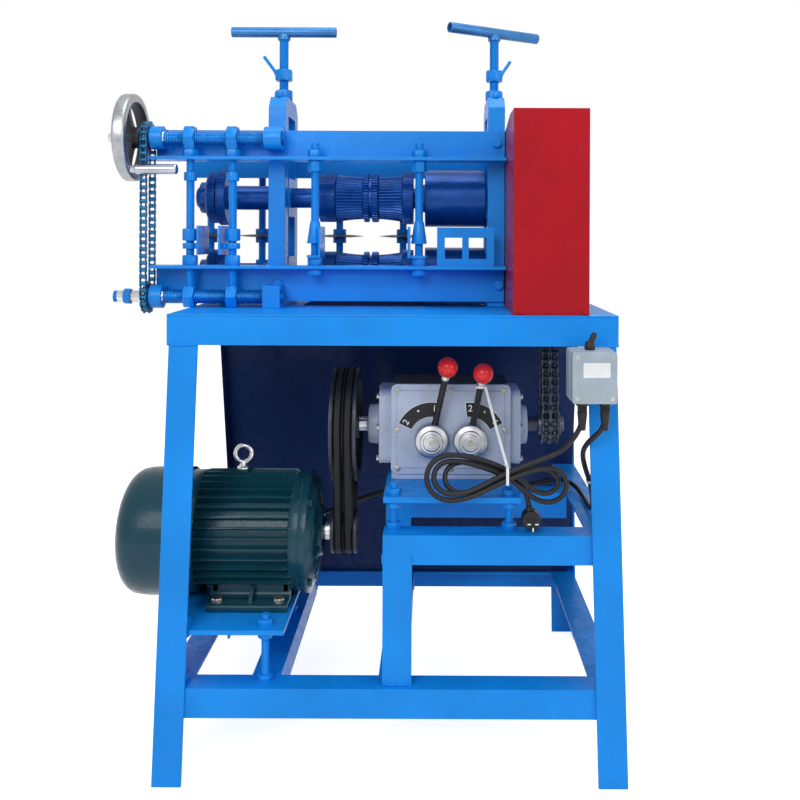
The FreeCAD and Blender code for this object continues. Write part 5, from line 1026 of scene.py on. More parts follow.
def tangent_knots(wheels):
    """Where the straight runs between neighbouring wheels start and end.

    A wheel is given as back, height, radius and way. A run's angle is that of the line of centres plus the
    arcsine of the radii's difference over its length.
    """
    starts = []
    ends = []
    for index, (y0, z0, r0, w0) in enumerate(wheels):
        y1, z1, r1, w1 = wheels[(index + 1) % len(wheels)]
        far = math.hypot(y1 - y0, z1 - z0)
        angle = math.atan2(z1 - z0, y1 - y0) + math.asin((w0 * r0 - w1 * r1) / far)
        side = np.array((math.sin(angle), -math.cos(angle)))
        starts.append(np.array((y0, z0)) + side * w0 * r0)
        ends.append(np.array((y1, z1)) + side * w1 * r1)
    return starts, ends


def run_round(wheels, plane):
    """A closed run round wheels in an upright plane: common tangents joined by arcs.

    It gives a function from distances along the run to points, and its whole length.
    """
    starts, ends = tangent_knots(wheels)
    knots = [0.0]
    parts = []
    for index, (y0, z0, radius, way) in enumerate(wheels):
        enter = ends[index - 1]
        leave = starts[index]
        begin = math.atan2(enter[1] - z0, enter[0] - y0)
        sweep = (math.atan2(leave[1] - z0, leave[0] - y0) - begin) * way % (2 * math.pi) * way
        parts.append((y0, z0, radius, begin, sweep))
        knots.append(knots[-1] + abs(sweep) * radius)
        parts.append((leave, ends[index]))
        knots.append(knots[-1] + float(np.linalg.norm(ends[index] - leave)))

    def at(distance):
        distance = np.asarray(distance, float) % knots[-1]
        flat = np.zeros(distance.shape + (2,))
        for index, part in enumerate(parts):
            here = (distance >= knots[index]) & (distance <= knots[index + 1])
            share = ((distance - knots[index]) / (knots[index + 1] - knots[index]))[here]
            if len(part) == 5:
                y0, z0, radius, begin, sweep = part
                flat[here] = np.stack([y0 + radius * np.cos(begin + sweep * share),
                                       z0 + radius * np.sin(begin + sweep * share)], -1)
            else:
                flat[here] = part[0] + (part[1] - part[0]) * share[:, None]
        return spatial("X", plane, flat[..., 0], flat[..., 1])
    return at, knots[-1]


def build_belts():
    """Two wedge belts round the pulleys and the big pulley with its shaft."""
    section = [(-8.3, -5.3), (-7.6, -5.6), (7.6, -5.6), (8.3, -5.3), (8.3, -3.6), (4.4, 5.4), (-4.4, 5.4),
               (-8.3, -3.6)]
    belts = []
    for way in (-1, 1):
        at, length = run_round(((*GEAR, 102.5, 1), (*MOTOR, 36.0, 1)), BELT_MIDDLE + BELT_OFFSET * way)
        belts.append(swept(section, at(np.linspace(0, length, 260, endpoint=False)), closed=True))
    piece("wedge_belts", in_finish(FINISHES["belt_rubber"], *belts), "table", "drive_belts",
          smooth=30)
    shaft = [(-127, 0.5), (-127, 16.8), (-126, 18), (-121, 18), (-121, 14), (52, 14), (52, 0.5)]
    pulley = turned("X", GEAR, pulley_profile(PULLEY_RIM, 14, True), 128, ring=True)
    forms = in_finish(FINISHES["dark_steel"], pulley)
    forms += in_finish(FINISHES["turned_steel"], lathe("X", GEAR, shaft, 0.5, 40))
    forms += in_finish(FINISHES["zinc_steel"], hex_nut("X", GEAR, -126.9, -121.2, 31, 0.3))
    worn = [torus("X", GEAR, BELT_MIDDLE + offset, PULLEY_RIM - 0.4, 0.4, 128, 6) for offset in (-24.1, 24.1)]
    piece("big_pulley", forms + in_finish(FINISHES["chain_steel"], *worn), "input", "input_pulley",
          smooth=36)


# Gearbox
LEVER_HEIGHT = PIVOTS["left_shift_lever_turn"][2]
LEFT_LEVER = PIVOTS["left_shift_lever_turn"][0]
RIGHT_LEVER = PIVOTS["right_shift_lever_turn"][0]
DIAL_FACE = -147
FIGURE_FACE = -147.15


def build_gearbox():
    """The gearbox: a cast case with side caps, bosses and bolts, a thin dark plate of painted shade on its
    top, its cover, studs, dials and two levers.
    """
    left = [(-30, 14.6), (-30, 42), (-36, 38), (-52, 36.5), (-54, 34.5), (-54, 24), (-51, 22), (-51, 14.6)]
    right = [(232, 14.6), (232, 42), (238, 38), (248.5, 36.5), (250, 34.5), (250, 24), (247, 22), (247, 14.6)]
    forms = [slab(-7, 213, -136, -12, 485, 650, 16, "Y"),
             slab(-7.5, 213.5, -139, -13, GEAR_PLATE_TOP, 485, 5, "Z"),
             slab(-31, -7, -130, -13, 497.5, 636.5, 20, "X"),
             slab(213, 233.5, -130, -13, 497.5, 636.5, 20, "X"),
             eased_ring("X", GEAR, left, 1.2, 64, 2), eased_ring("X", GEAR, right, 1.2, 64, 2)]
    piece("gearbox_casting", in_finish(FINISHES["gearbox_grey"], *forms), "table", "gearbox_case",
          bevel=2.2, segments=3)
    # A thin dark plate on the case's top: painted shade, standing for the shadow that lies on the top under
    # the table.
    top_shade_plate = slab(-3, 209, -132, -16, 649.6, 650.8, 14, "Z")
    piece("gearbox_top_shade", in_finish(FINISHES["dark_steel"], top_shade_plate), "table")
    bolts = [hex_nut("X", (y, z), low, low + 5, 10.5, 0.3)
             for low in (-36, 233.5) for y in (-118, -26) for z in (509, 567, 625)]
    piece("cap_bolts", in_finish(FINISHES["zinc_steel"], *bolts), "table")
    build_gear_front()
    build_dials()
    build_levers()


def build_gear_front():
    """The front cover with a raised panel, eight socket screws, and the studs under the gearbox."""
    panel = (slab(-8, 214, -142.6, -136, 484, 651, 12, "Y"), slab(3, 203, -145, -142.4, 496, 639, 8, "Y"))
    piece("gearbox_front", in_finish(FINISHES["gearbox_grey"], *panel), "table", "gearbox_cover",
          bevel=1.2, segments=3)
    studs = [(x, y) for x in (2, 203) for y in (-241, 8)]
    piece("gearbox_studs", stud_set(studs, STAND_TOP, GEAR_PLATE_TOP, 10), "table", "gearbox_fasteners",
          smooth=40)
    head = [(-148, 0.5), (-146.6, 2.2), (-147.2, 2.6), (-148, 3.2), (-148, 4.0), (-147.6, 4.5), (-144.2, 4.5),
            (-144.2, 0.5)]
    spots = ((4, 639), (202, 639), (4, 496), (202, 496), (103, 639), (103, 496), (4, 567), (202, 567))
    screws = [turned("Y", spot, head, 24) for spot in spots]
    piece("cover_socket_screws", in_finish(FINISHES["zinc_steel"], *screws), "table",
          smooth=40)


def sector_form(x, z, inner, outer, start, end, low, high):
    """Part of a flat ring between two angles from straight up: an inner and an outer arc, joined."""
    angle = np.radians(np.linspace(start, end, 48))
    way = np.stack([np.sin(angle), np.cos(angle)], 1)
    outline = np.concatenate([way * inner, (way * outer)[::-1]]) + (x, z)
    return extruded("Y", outline, low, high)


def figure(text, x, z, angle, radius, size):
    """A raised figure on a dial: its letter curve made a mesh, set at a radius and turned outwards."""
    curve = bpy.data.curves.new("figure", "FONT")
    curve.body = text
    curve.size = size / 1000
    curve.extrude = 0.0002
    curve.align_x = "CENTER"
    curve.align_y = "CENTER"
    source = bpy.data.objects.new("figure", curve)
    bpy.context.scene.collection.objects.link(source)
    bpy.context.view_layer.update()
    mesh = bpy.data.meshes.new_from_object(source.evaluated_get(bpy.context.evaluated_depsgraph_get()))
    bpy.data.objects.remove(source)
    flat = np.empty(len(mesh.vertices) * 3)
    mesh.vertices.foreach_get("co", flat)
    flat = flat.reshape(-1, 3) * 1000
    faces = [np.array([list(polygon.vertices)]) for polygon in mesh.polygons]
    bpy.data.meshes.remove(mesh)
    sine = math.sin(math.radians(angle))
    cosine = math.cos(math.radians(angle))
    across = x + radius * sine + flat[:, 0] * cosine + flat[:, 1] * sine
    up = z + radius * cosine - flat[:, 0] * sine + flat[:, 1] * cosine
    return np.stack([across, FIGURE_FACE - flat[:, 2], up], 1), faces


def build_dials():
    """Black dial plates behind the levers with a pale rim, a figure at each end and a dot for the middle."""
    face = DIAL_FACE
    for side, x, start, end in (("left", LEFT_LEVER, -66, 14), ("right", RIGHT_LEVER, -8, 65)):
        middle = math.radians((start + end) / 2)
        spot = (x + 57 * math.sin(middle), LEVER_HEIGHT + 57 * math.cos(middle))
        dot = [(face - 0.2, 0.3), (face - 0.2, 2.0), (face + 0.4, 2.0), (face + 0.4, 0.3)]
        rim = sector_form(x, LEVER_HEIGHT, 40, 68, start, end, face + 0.8, face + 2)
        plate = sector_form(x, LEVER_HEIGHT, 41, 66.9, start + 1.1, end - 1.1, face, face + 0.9)
        marks = (turned("Y", spot, dot, 24), figure("2", x, LEVER_HEIGHT, start + 9, 56, 17),
                 figure("1", x, LEVER_HEIGHT, end - 9, 56, 17))
        white = FINISHES["mark_white"]
        forms = [(rim, white), (plate, FINISHES["dial_black"]), *in_finish(white, *marks)]
        piece(f"{side}_dial", forms, "table", "lever_dial_plates")


def build_levers():
    """Two gear levers: a knurled stepped hub, a black rod bent out of it, a bright collar and a red ball."""
    def knurl(along, angle, radius):
        return radius - (np.abs(along + 160.5) < 7.5) * 0.35 * (1 + np.cos(angle * 60))
    hub = softened([(-183.5, 0.5), (-183.5, 14), (-181, 16.5), (-181, 20), (-179.5, 21), (-176, 21),
                    (-175, 25), (-173, 29), (-171, 30.6), (-169, 31), (-152, 31), (-149.6, 29.5), (-148, 26),
                    (-148, 10), (-133, 10), (-133, 0.5)], 0.7, 2, False)
    hub = np.concatenate([hub[hub[:, 0] < -169], [(-168, 31), (-167, 31), (-154, 31), (-153, 31)],
                          hub[hub[:, 0] > -152.5]])
    cap = [(-184.6, 0.5), (-184.6, 10.4), (-183, 11.6), (-183, 0.5)]
    for side, x, tilt, length in (("left", LEFT_LEVER, 11.6, 141.6), ("right", RIGHT_LEVER, 9.7, 130.0)):
        centre = (x, LEVER_HEIGHT)
        up = np.array((math.sin(math.radians(tilt)), 0, math.cos(math.radians(tilt))))
        base = np.array((x, -160.0, LEVER_HEIGHT)) + up * 20
        tip = np.array((x, -195.0, LEVER_HEIGHT)) + up * length
        way = (tip - base) / np.linalg.norm(tip - base)
        bar = rod(base, tip, [(0, 6.6), (0.1, 6.6), (0.14, 6), (0.84, 6), (1, 5.4)], 28)
        socket = rod(base - way * 2, base + way * 9, [(0, 8.6), (0.7, 8.6), (0.85, 8.2), (1, 6.2)], 32)
        swell = [(0, 6.2), (0.06, 7.4), (0.5, 7.6), (0.94, 7.4), (1, 6.4)]
        collar = rod(tip - way * 24, tip - way * 15, swell, 32)
        alloy = FINISHES["lever_alloy"]
        forms = in_finish(alloy, turned("Y", centre, hub, 240, knurl), lathe("Y", centre, cap, 0.5, 40))
        forms += in_finish(FINISHES["zinc_steel"], hex_nut("Y", centre, -185.8, -184, 11, 0.4))
        forms += in_finish(FINISHES["black_plastic"], bar) + in_finish(alloy, socket, collar)
        forms += in_finish(FINISHES["knob_red"], ball(tip, 18.5))
        piece(f"{side}_gear_lever", forms, f"{side}_lever", f"{side}_shift_lever", smooth=46)


# Sprockets and chains
DRIVE_PITCH = 15.875
LEAD_PITCH = 12.7
OUTPUT_TEETH = 12
SHAFT_TEETH = 18
LEAD_TEETH = 13
CHAIN_ROWS = (285.2, 301.8)


def pitch_radius(pitch, teeth):
    """The radius on which a chain's rollers lie: half the pitch over the sine of half a tooth's angle."""
    return pitch / 2 / math.sin(math.pi / teeth)


DRIVE_WHEELS = ((*GEAR, pitch_radius(DRIVE_PITCH, OUTPUT_TEETH), -1),
                (*UPPER, pitch_radius(DRIVE_PITCH, SHAFT_TEETH), -1),
                (*LOWER, pitch_radius(DRIVE_PITCH, SHAFT_TEETH), 1))
LEAD_WHEELS = ((*LOWER_LEAD, pitch_radius(LEAD_PITCH, LEAD_TEETH), 1),
               (*UPPER_LEAD, pitch_radius(LEAD_PITCH, LEAD_TEETH), 1))


def gap_wave(teeth, pitch, start):
    """Sprocket teeth: round gaps for the chain's rollers on the pitch circle, cut into the tip circle."""
    middle = pitch_radius(pitch, teeth)
    roller = pitch * 0.32

    def wave(along, angle, radius):
        step = 2 * np.pi / teeth
        near = (angle - start + step / 2) % step - step / 2
        inside = roller ** 2 - (middle * np.sin(near)) ** 2
        gap = middle * np.cos(near) - np.sqrt(np.maximum(inside, 0))
        return np.where(inside > 0, np.minimum(radius, gap), radius)
    return wave


def sprocket(centre, teeth, pitch, rows, width, hub, hub_span, start):
    """A sprocket: toothed rings with chamfered tips on a stepped hub."""
    tip = pitch_radius(pitch, teeth) + pitch * 0.17
    root = tip - pitch * 0.5 - 2.0
    slope = width * 0.22
    forms = []
    for row in rows:
        low, high = row - width / 2, row + width / 2
        profile = [(low, root - 2), (low, root + 1), (low + slope, tip), (high - slope, tip),
                   (high, root + 1), (high, root - 2)]
        forms.append(turned("X", centre, profile, teeth * 20, gap_wave(teeth, pitch, start)))
    low, high = hub_span
    forms.append(lathe("X", centre, [(low, 14), (low, hub), (high, hub), (high, 14)], 1.2, 60, 3))
    return forms


def chain_places(wheels, pitch):
    """The places of a chain's rollers: an even number of equal steps along the run round its wheels."""
    at, length = run_round(wheels, 0.0)
    count = int(round(length / pitch / 2)) * 2
    return at(np.arange(count) * length / count)


def gap_start(places, centre, radius):
    """The angle of a roller that lies on a wheel, so that a gap is turned to it."""
    offset = places[:, 1:] - np.array(centre)
    far = np.abs(np.linalg.norm(offset, axis=1) - radius)
    on_wheel = offset[np.argsort(far)[1]]
    return math.atan2(on_wheel[1], on_wheel[0])


def link_plates(places, pitch, half, spans):
    """Link plates between neighbouring rollers: a waisted outline with round ends, turned along the run."""
    after = np.roll(places, -1, 0)
    middle = (places + after) / 2
    way = after - places
    angle = np.arctan2(way[:, 2], way[:, 1])
    round_end = np.radians(np.linspace(-78, 78, 7))
    right = np.stack([pitch / 2 + half * np.cos(round_end), half * np.sin(round_end)], 1)
    outline = np.concatenate([right, [[0, half * 0.66]], right[::-1] * (-1, 1), [[0, -half * 0.66]]])
    forms = []
    for low, high, first in spans:
        plate = extruded("X", outline, low, high)
        every_other = slice(first, None, 2)
        shifts = middle[every_other] * (0, 1, 1)
        forms.append(repeated(plate, shifts, turn_about("X", angle[every_other])))
    return joined(*forms)


def chain_form(places, pitch, half, inner, outer, rollers, pins):
    """A roller chain: rollers and pins at every place, inner and outer plates by turns between them."""
    plates = link_plates(places, pitch, half, [(*span, 0) for span in inner] + [(*span, 1) for span in outer])
    barrels = []
    for (low, high), radius in [(span, half * 0.66) for span in rollers] + [(pins, half * 0.36)]:
        profile = [(low, radius - 0.4), (low + 0.4, radius), (high - 0.4, radius), (high, radius - 0.4)]
        barrels.append(repeated(turned("X", (0, 0), profile, 12), places * (0, 1, 1)))
    return plates, joined(*barrels)


def build_chains():
    """The duplex drive chain and the chain between the lead screws, link by link."""
    plates, barrels = chain_form(
        chain_places(DRIVE_WHEELS, DRIVE_PITCH), DRIVE_PITCH, 7.3,
        inner=((279.0, 280.3), (290.1, 291.4), (295.6, 296.9), (306.7, 308.0)),
        outer=((277.4, 278.8), (291.7, 293.2), (293.8, 295.3), (308.2, 309.6)),
        rollers=((280.4, 290.0), (297.0, 306.6)), pins=(276.7, 310.3))
    piece("drive_chain", [(plates, FINISHES["chain_steel"]), (barrels, FINISHES["dark_steel"])], "table",
          "roller_drive_chain", smooth=30)
    forms = chain_form(
        chain_places(LEAD_WHEELS, LEAD_PITCH), LEAD_PITCH, 5.7,
        inner=((-473.9, -472.9), (-465.1, -464.1)), outer=((-474.9, -474.0), (-464.0, -463.1)),
        rollers=((-472.8, -465.2),), pins=(-475.5, -462.5))
    piece("lead_chain", in_finish(FINISHES["chain_blue"], *forms), "table", "handwheel_chain",
          smooth=30)


# Shafts and rollers
SHAFT_HOLE = 20.2


def flutes(count, deep):
    """Lengthwise flutes: the radius falls by deep between rounded ribs, count to the turn."""
    def wave(along, angle, radius):
        return radius - deep * (0.5 - 0.5 * np.cos(angle * count)) ** 1.4
    return wave


def feed_roller(centre):
    """The waisted feed roller: two fluted halves, two toothed rings between and a fine ring at each end."""
    ribs = sizes().roller_flutes
    share = np.linspace(0, 1, 13)
    left = np.stack([-124 + 54 * share, 41.8 + 5.7 * (1 - share) ** 1.6], 1)
    right = np.stack([-40.4 + 48 * share, 41.8 + 5.7 * share ** 1.6], 1)
    forms = []
    for half in (left, right):
        low, high = half[0, 0], half[-1, 0]
        profile = np.concatenate([[[low, 21], [low, half[0, 1] - 1.2]], half,
                                  [[high, half[-1, 1] - 1.2], [high, 21]]])
        profile[2, 0] += 1.0
        profile[-3, 0] -= 1.0
        forms.append(turned("X", centre, profile, ribs * 8, flutes(ribs, 2.6)))
    for low, high in ((-70, -59), (-54, -40.4)):
        profile = [(low, 30), (low, 45.5), (low + 1.2, 48), (high - 1.2, 48), (high, 45.5), (high, 30)]
        forms.append(turned("X", centre, profile, ribs * 8, toothed(ribs, 3.2)))
    forms.append(turned("X", centre, [(-60, 25), (-60, 40.8), (-53, 40.8), (-53, 25)], 64))
    fine = [(7.6, 25), (7.6, 50.6), (8.8, 52), (28, 52), (29.2, 50.6), (29.2, 25)]
    forms.append(turned("X", centre, fine, 90 * 6, toothed(90, 1.5)))
    ring = [(-158, 21), (-158, 46.4), (-156.6, 48), (-126, 48), (-124.6, 46.6), (-124.6, 21)]
    forms.append(turned("X", centre, ring, 84 * 6, toothed(84, 1.5)))
    return forms


def smooth_drum(centre):
    """The smooth drum with eased rims, shallow turned ends and its hub."""
    profile = [(32, SHAFT_HOLE), (32, 27), (33, 28), (50.5, 28), (53.5, 30), (53.5, 48), (52, 50), (52, 55.4),
               (53.6, 57), (169.4, 57), (171, 55.4), (171, 50), (169, 48), (169, 30), (171, 27),
               (171, SHAFT_HOLE)]
    return [turned("X", centre, profile, 128)]


def cutter_discs(centre):
    """Two straight-toothed cutter discs on a hub, with the sleeve beside them."""
    slim = [(-380.5, 28), (-380.5, 44.8), (-375.5, 51), (-361, 51), (-360, 50), (-360, 28)]
    wide = [(-358, 25), (-358, 54.2), (-357, 55.4), (-341, 55.4), (-340, 54.2), (-340, 25)]
    sleeve = [(-396, SHAFT_HOLE), (-396, 31), (-380, 31), (-380, 26), (-340, 26), (-340, 24), (-251, 24),
              (-251, SHAFT_HOLE)]
    return [turned("X", centre, slim, 84 * 6, toothed(84, 1.8)),
            turned("X", centre, wide, 90 * 6, toothed(90, 2.0)), lathe("X", centre, sleeve, 0.9, 60)]


def build_rollers():
    """Both shafts with their feed rollers, drums, cutter discs and drive sprockets, and the output shaft."""
    blue = FINISHES["roller_blue"]
    dark = FINISHES["chain_steel"]
    places = chain_places(DRIVE_WHEELS, DRIVE_PITCH)
    bar = [(-404, 0.5), (-404, 18.5), (-402.5, 20), (317.5, 20), (319, 18.5), (319, 0.5)]
    end = [(-404.6, 0.5), (-404.6, 5), (-403.9, 6.5), (-403.9, 0.5)]
    for side, body, centre in (("upper", "upper_rollers", UPPER), ("lower", "lower_set", LOWER)):
        start = gap_start(places, centre, pitch_radius(DRIVE_PITCH, SHAFT_TEETH))
        wheel = sprocket(centre, SHAFT_TEETH, DRIVE_PITCH, CHAIN_ROWS, 9, 32, (272, 315), start)
        forms = in_finish(blue, lathe("X", centre, bar, 0.3, 56, 1))
        forms += in_finish(FINISHES["turned_steel"], lathe("X", centre, end, 0.3, 24, 1))
        piece(f"{side}_drive_shaft", forms + in_finish(dark, *wheel), body, f"{side}_shaft",
              smooth=34)
    piece("feed_roller", in_finish(blue, *feed_roller(UPPER)), "upper_rollers", "upper_feed_roller",
          smooth=34)
    piece("flat_drum", in_finish(blue, *smooth_drum(UPPER)), "upper_rollers", "upper_drum")
    piece("cutter_pair", in_finish(blue, *cutter_discs(UPPER)), "upper_rollers", "upper_cutter_discs",
          smooth=34)
    lower = feed_roller(LOWER) + smooth_drum(LOWER) + cutter_discs(LOWER)
    piece("lower_roller_set", in_finish(blue, *lower), "lower_set", "lower_rollers", smooth=34)
    output = lathe("X", GEAR, [(154, 0.5), (154, 14), (321, 14), (322, 13), (322, 0.5)], 0.5, 40, 1)
    start = gap_start(places, GEAR, pitch_radius(DRIVE_PITCH, OUTPUT_TEETH))
    wheel = sprocket(GEAR, OUTPUT_TEETH, DRIVE_PITCH, CHAIN_ROWS, 9, 22, (272, 315), start)
    piece("output_drive", in_finish(dark, output, *wheel), "output", "output_shaft", smooth=34)


# Head
LEFT_PRESS = PIVOTS["left_press_screw_turn"][0]
RIGHT_PRESS = PIVOTS["right_press_screw_turn"][0]
FRONT_COLUMNS = -115
REAR_COLUMNS = 121


def build_head():
    """The press frames, rails, bearings and guide plates with eased edges, and their bolts."""
    blue = FINISHES["head_blue"]
    ease = sizes().edge_ease
    for node, body, width in (("press_frames", "table", ease), ("front_upper_rail", "table", 0.9),
                              ("front_lower_rail", "table", 0.9), ("rear_rails", "table", 0.9),
                              ("shaft_bearings", "table", 0.8), ("guide_plates", "table", 0.5),
                              ("pressure_blocks", "carriage", 0.8)):
        merged_copy(f"{node}_steel", node, blue, body, width)
    forms = []
    for middle in (LEFT_PRESS, RIGHT_PRESS):
        forms.append(hex_nut("Z", (middle, 0), 1196, 1217, 30, math.radians(30)))
        for back in (-50, 50):
            forms.append(hex_nut("Z", (middle, back), 1196, 1206, 19, 0.2))
        for height in (1071, 826):
            forms.append(hex_nut("Y", (middle, height), 85, 93, 17, 0.5))
        forms.append(hex_nut("Y", (middle + 4.5, 833), -93, -85, 17, 0.1))
    forms.append(hex_nut("Y", (RIGHT_PRESS, 1105), -93, -85, 17, 0.3))
    piece("head_bolts", in_finish(blue, *forms), "table", "head_fasteners", smooth=40)


def stack(spot, parts):
    """Nuts, collars and cones on a column, each given as kind, bottom, top and size."""
    forms = []
    for index, (kind, low, high, size) in enumerate(parts):
        if kind == "nut":
            forms.append(hex_nut("Z", spot, low, high, size, math.radians(30 + 7 * index)))
        else:
            top = size if kind == "collar" else 9
            forms.append(lathe("Z", spot, [(low, 7), (low, size), (high, top), (high, 7)], 0.9, 40))
    return forms


def build_columns():
    """The fixed columns with their nuts, the rear posts and the slitting knives on them."""
    blue = FINISHES["head_blue"]
    pitch = sizes().column_pitch
    forms = []
    for x in (-154, 42):
        spot = (x, FRONT_COLUMNS)
        forms.append(thread("Z", spot, 849, 1100, 8, pitch, 0.8, 20))
        forms += stack(spot, (("nut", 1073, 1086, 25), ("nut", 1046, 1067, 25), ("cone", 911, 953, 15),
                              ("nut", 869, 884, 25), ("nut", 851, 863, 25)))
    piece("front_columns", in_finish(blue, *forms), "table", "guide_columns", smooth=40)
    forms = []
    knives = []
    edge = [(922, 8.1), (922, 24), (924.7, 51.7), (925, 52), (925.3, 51.7), (928, 24), (928, 8.1)]
    for x in (-408, -298, -132, 4):
        spot = (x, REAR_COLUMNS)
        forms.append(thread("Z", spot, 839, 1128, 8, pitch, 0.8, 18, 5))
        forms += stack(spot, (("nut", 1106, 1119, 25), ("nut", 1087, 1100, 25), ("collar", 928, 940, 14),
                              ("collar", 910, 922, 14), ("nut", 861, 874, 25), ("nut", 842, 855, 25)))
        knives.append(turned("Z", spot, edge, 120, ring=True))
    piece("rear_columns", in_finish(blue, *forms), "table", "guide_columns", smooth=40)
    piece("slitting_knives", in_finish(FINISHES["knife_steel"], *knives), "table", "slitting_discs",
          smooth=30)


def long_nut(x, centre, flats):
    """A hexagon nut round a lead screw: a turned ring, only its outside held to the hexagon."""
    rim = corner_radius(flats)
    profile = [(x - 10, 13.9), (x - 10, flats * 0.49), (x - 8.6, rim), (x + 8.6, rim), (x + 10, flats * 0.49),
               (x + 10, 13.9)]

    def wave(along, angle, radius):
        return np.where(radius < 14, radius, hexagon_wave(flats, math.pi / 6)(along, angle, radius))
    return turned("X", centre, profile, 72, wave, ring=True)


def build_guides():
    """The two side guides: threaded columns with nuts, nuts on the lead screws, an arm and a guide plate."""
    for side, x, way in (("left", -389, 1), ("right", -309, -1)):
        spot = (x, FRONT_COLUMNS)
        forms = [thread("Z", spot, 826.1, 1090.5, 8, sizes().column_pitch, 0.8, 20)]
        forms += stack(spot, (("nut", 1073.2, 1087, 26), ("collar", 1028, 1044, 12), ("nut", 915, 938, 25),
                              ("collar", 900, 911, 14), ("nut", 869.2, 888, 26)))
        forms += [long_nut(x, UPPER_LEAD, 42), long_nut(x, LOWER_LEAD, 39)]
        near, far = sorted((x, x + 18.5 * way))
        forms.append(slab(near, far, -123, -107, 900, 911, 2, "X"))
        near, far = sorted((x + 18 * way, x + 22 * way))
        forms.append(slab(near, far, -140, -62, 889, 943.5, 3, "X"))
        piece(f"{side}_side_guide", in_finish(FINISHES["head_blue"], *forms), f"{side}_guide_body",
              f"{side}_guide", smooth=40)


def build_lead_screws():
    """The lead screws: coarse threads, stepped left ends and their chain sprockets."""
    places = chain_places(LEAD_WHEELS, LEAD_PITCH)
    for side, centre, left in (("upper", UPPER_LEAD, -542), ("lower", LOWER_LEAD, -532)):
        end = [(left, 0.5), (left, 8.5), (left + 8, 8.5), (left + 8, 11), (-463, 11), (-463, 13.4),
               (-437, 13.4), (-437, 0.5)]
        forms = in_finish(FINISHES["turned_steel"], lathe("X", centre, end, 0.7, 40))
        coarse = thread("X", centre, -438, -212.5, 13.5, sizes().lead_pitch, 1.3, 28, 7)
        forms += in_finish(FINISHES["thread_blue"], coarse)
        start = gap_start(places, centre, pitch_radius(LEAD_PITCH, LEAD_TEETH))
        wheel = sprocket(centre, LEAD_TEETH, LEAD_PITCH, (-469,), 7, 18, (-477, -464.2), start)
        forms += in_finish(FINISHES["chain_steel"], *wheel)
        if side == "lower":
            forms += in_finish(FINISHES["head_blue"], hex_nut("X", centre, -512, -499, 27, 0.3),
                               thread("X", centre, -531, -478, 11.0, 2.5, 0.9, 24))
        piece(f"{side}_lead", forms, f"{side}_lead", f"{side}_lead_screw", smooth=36)


def build_press_screws():
    """The press screws with open tube handles, and the lock nuts with their bent rods."""
    def ripples(along, angle, radius):
        return radius + 0.35 * np.cos(angle * 14) * (radius > 9)
    blue = FINISHES["head_blue"]
    head = [(1317, 0.5), (1317, 11.4), (1318.5, 12.5), (1326, 12.5), (1330, 9.5), (1334, 9.5), (1334, 0.5)]
    seam = [(1322.5, 0.5), (1322.5, 11.6), (1325, 12.8), (1327.5, 11.8), (1329, 9.6), (1329, 0.5)]
    tube = eased_ring("X", (0, 0), [(-105, 7.75), (-105, 10.25), (105, 10.25), (105, 7.75)], 0.8, 44)
    for side, x, swing, low, high in (("left", LEFT_PRESS, 0, (-13, -4, 1249), (-38, -14, 1283)),
                                      ("right", RIGHT_PRESS, 30, (13, 4, 1249), (34, 22, 1281))):
        spot = (x, 0)
        screw = thread("Z", spot, 1039, 1322, 9.5, sizes().press_pitch, 1.0, 24)
        handle = (lathe("Z", spot, head, 0.7, 36),
                  repeated(tube, (x, 0, 1334), turn_about("Z", math.radians(swing))),
                  turned("Z", spot, seam, 60, ripples))
        forms = in_finish(blue, screw) + in_finish(FINISHES["handle_blue"], *handle)
        piece(f"{side}_press_handle", forms, f"{side}_screw", f"{side}_press_screw", smooth=40)
        start = np.array(low) + (x, 0, 0)
        end = np.array(high) + (x, 0, 0)
        bent = rod(start, end, [(0, 3.3), (0.96, 3.3), (1, 2.7)], 20)
        foot = rod(start, start + (end - start) * 0.16, [(0, 4.8), (0.6, 4.6), (1, 3.2)], 20)
        piece(f"{side}_lock", in_finish(blue, hex_nut("Z", spot, 1236, 1258, 32, 0), bent, foot),
              f"{side}_nut", f"{side}_lock_nut", smooth=40)


def handwheel_spoke():
    """A spoke: a rounded section carried outwards, made narrower in its middle by a sine."""
    share = np.linspace(0, 1, 9)
    wide = 10 - 2.6 * np.sin(np.pi * share) + 1.5 * (2 * share - 1) ** 2
    section = softened([(-6, -1), (6, -1), (6, 1), (-6, 1)], 0.3, 2)
    rows = spatial("X", section[:, 0] - 499.5, section[:, 1] * wide[:, None], (16 + 52 * share)[:, None])
    return outward(rows.reshape(-1, 3), [cells(9, len(section)), *end_faces(9, len(section))])


def build_handwheel():
    """The handwheel: a rounded bright rim, three tapering spokes and a hub, and its chromed crank grip."""
    rim = [(-511.5, 66), (-511.5, 82), (-488, 82), (-488, 66)]
    liner = [(-510.6, 64.6), (-510.6, 68), (-489, 68), (-489, 64.6)]
    hub = [(-517.5, 11.1), (-517.5, 18.5), (-514, 20), (-484, 20), (-480, 18), (-480, 11.1)]
    forms = in_finish(FINISHES["wheel_alloy"], eased_ring("X", UPPER_LEAD, rim, (3.5, 5.5, 5.5, 3.5), 120, 5))
    forms += in_finish(FINISHES["dark_steel"], eased_ring("X", UPPER_LEAD, liner, 1.2, 120),
                       eased_ring("X", UPPER_LEAD, hub, 1.5, 56),
                       round_shaft(handwheel_spoke(), UPPER_LEAD, 3, 34))
    piece("handwheel_rim", forms, "wheel", "handwheel", smooth=46)
    pin = [(-487.7, 0.5), (-487.7, 7), (-478.5, 7), (-478, 8.6), (-477, 9.35), (-405, 9.35), (-403, 8.8),
           (-402, 7.0), (-402, 0.5)]
    grip = lathe("X", PIVOTS["crank_grip_spin"][1:], pin, 0.6, 48, 3)
    piece("turning_grip", in_finish(FINISHES["chrome"], grip), "wheel_grip", "crank_grip",
          smooth=46)


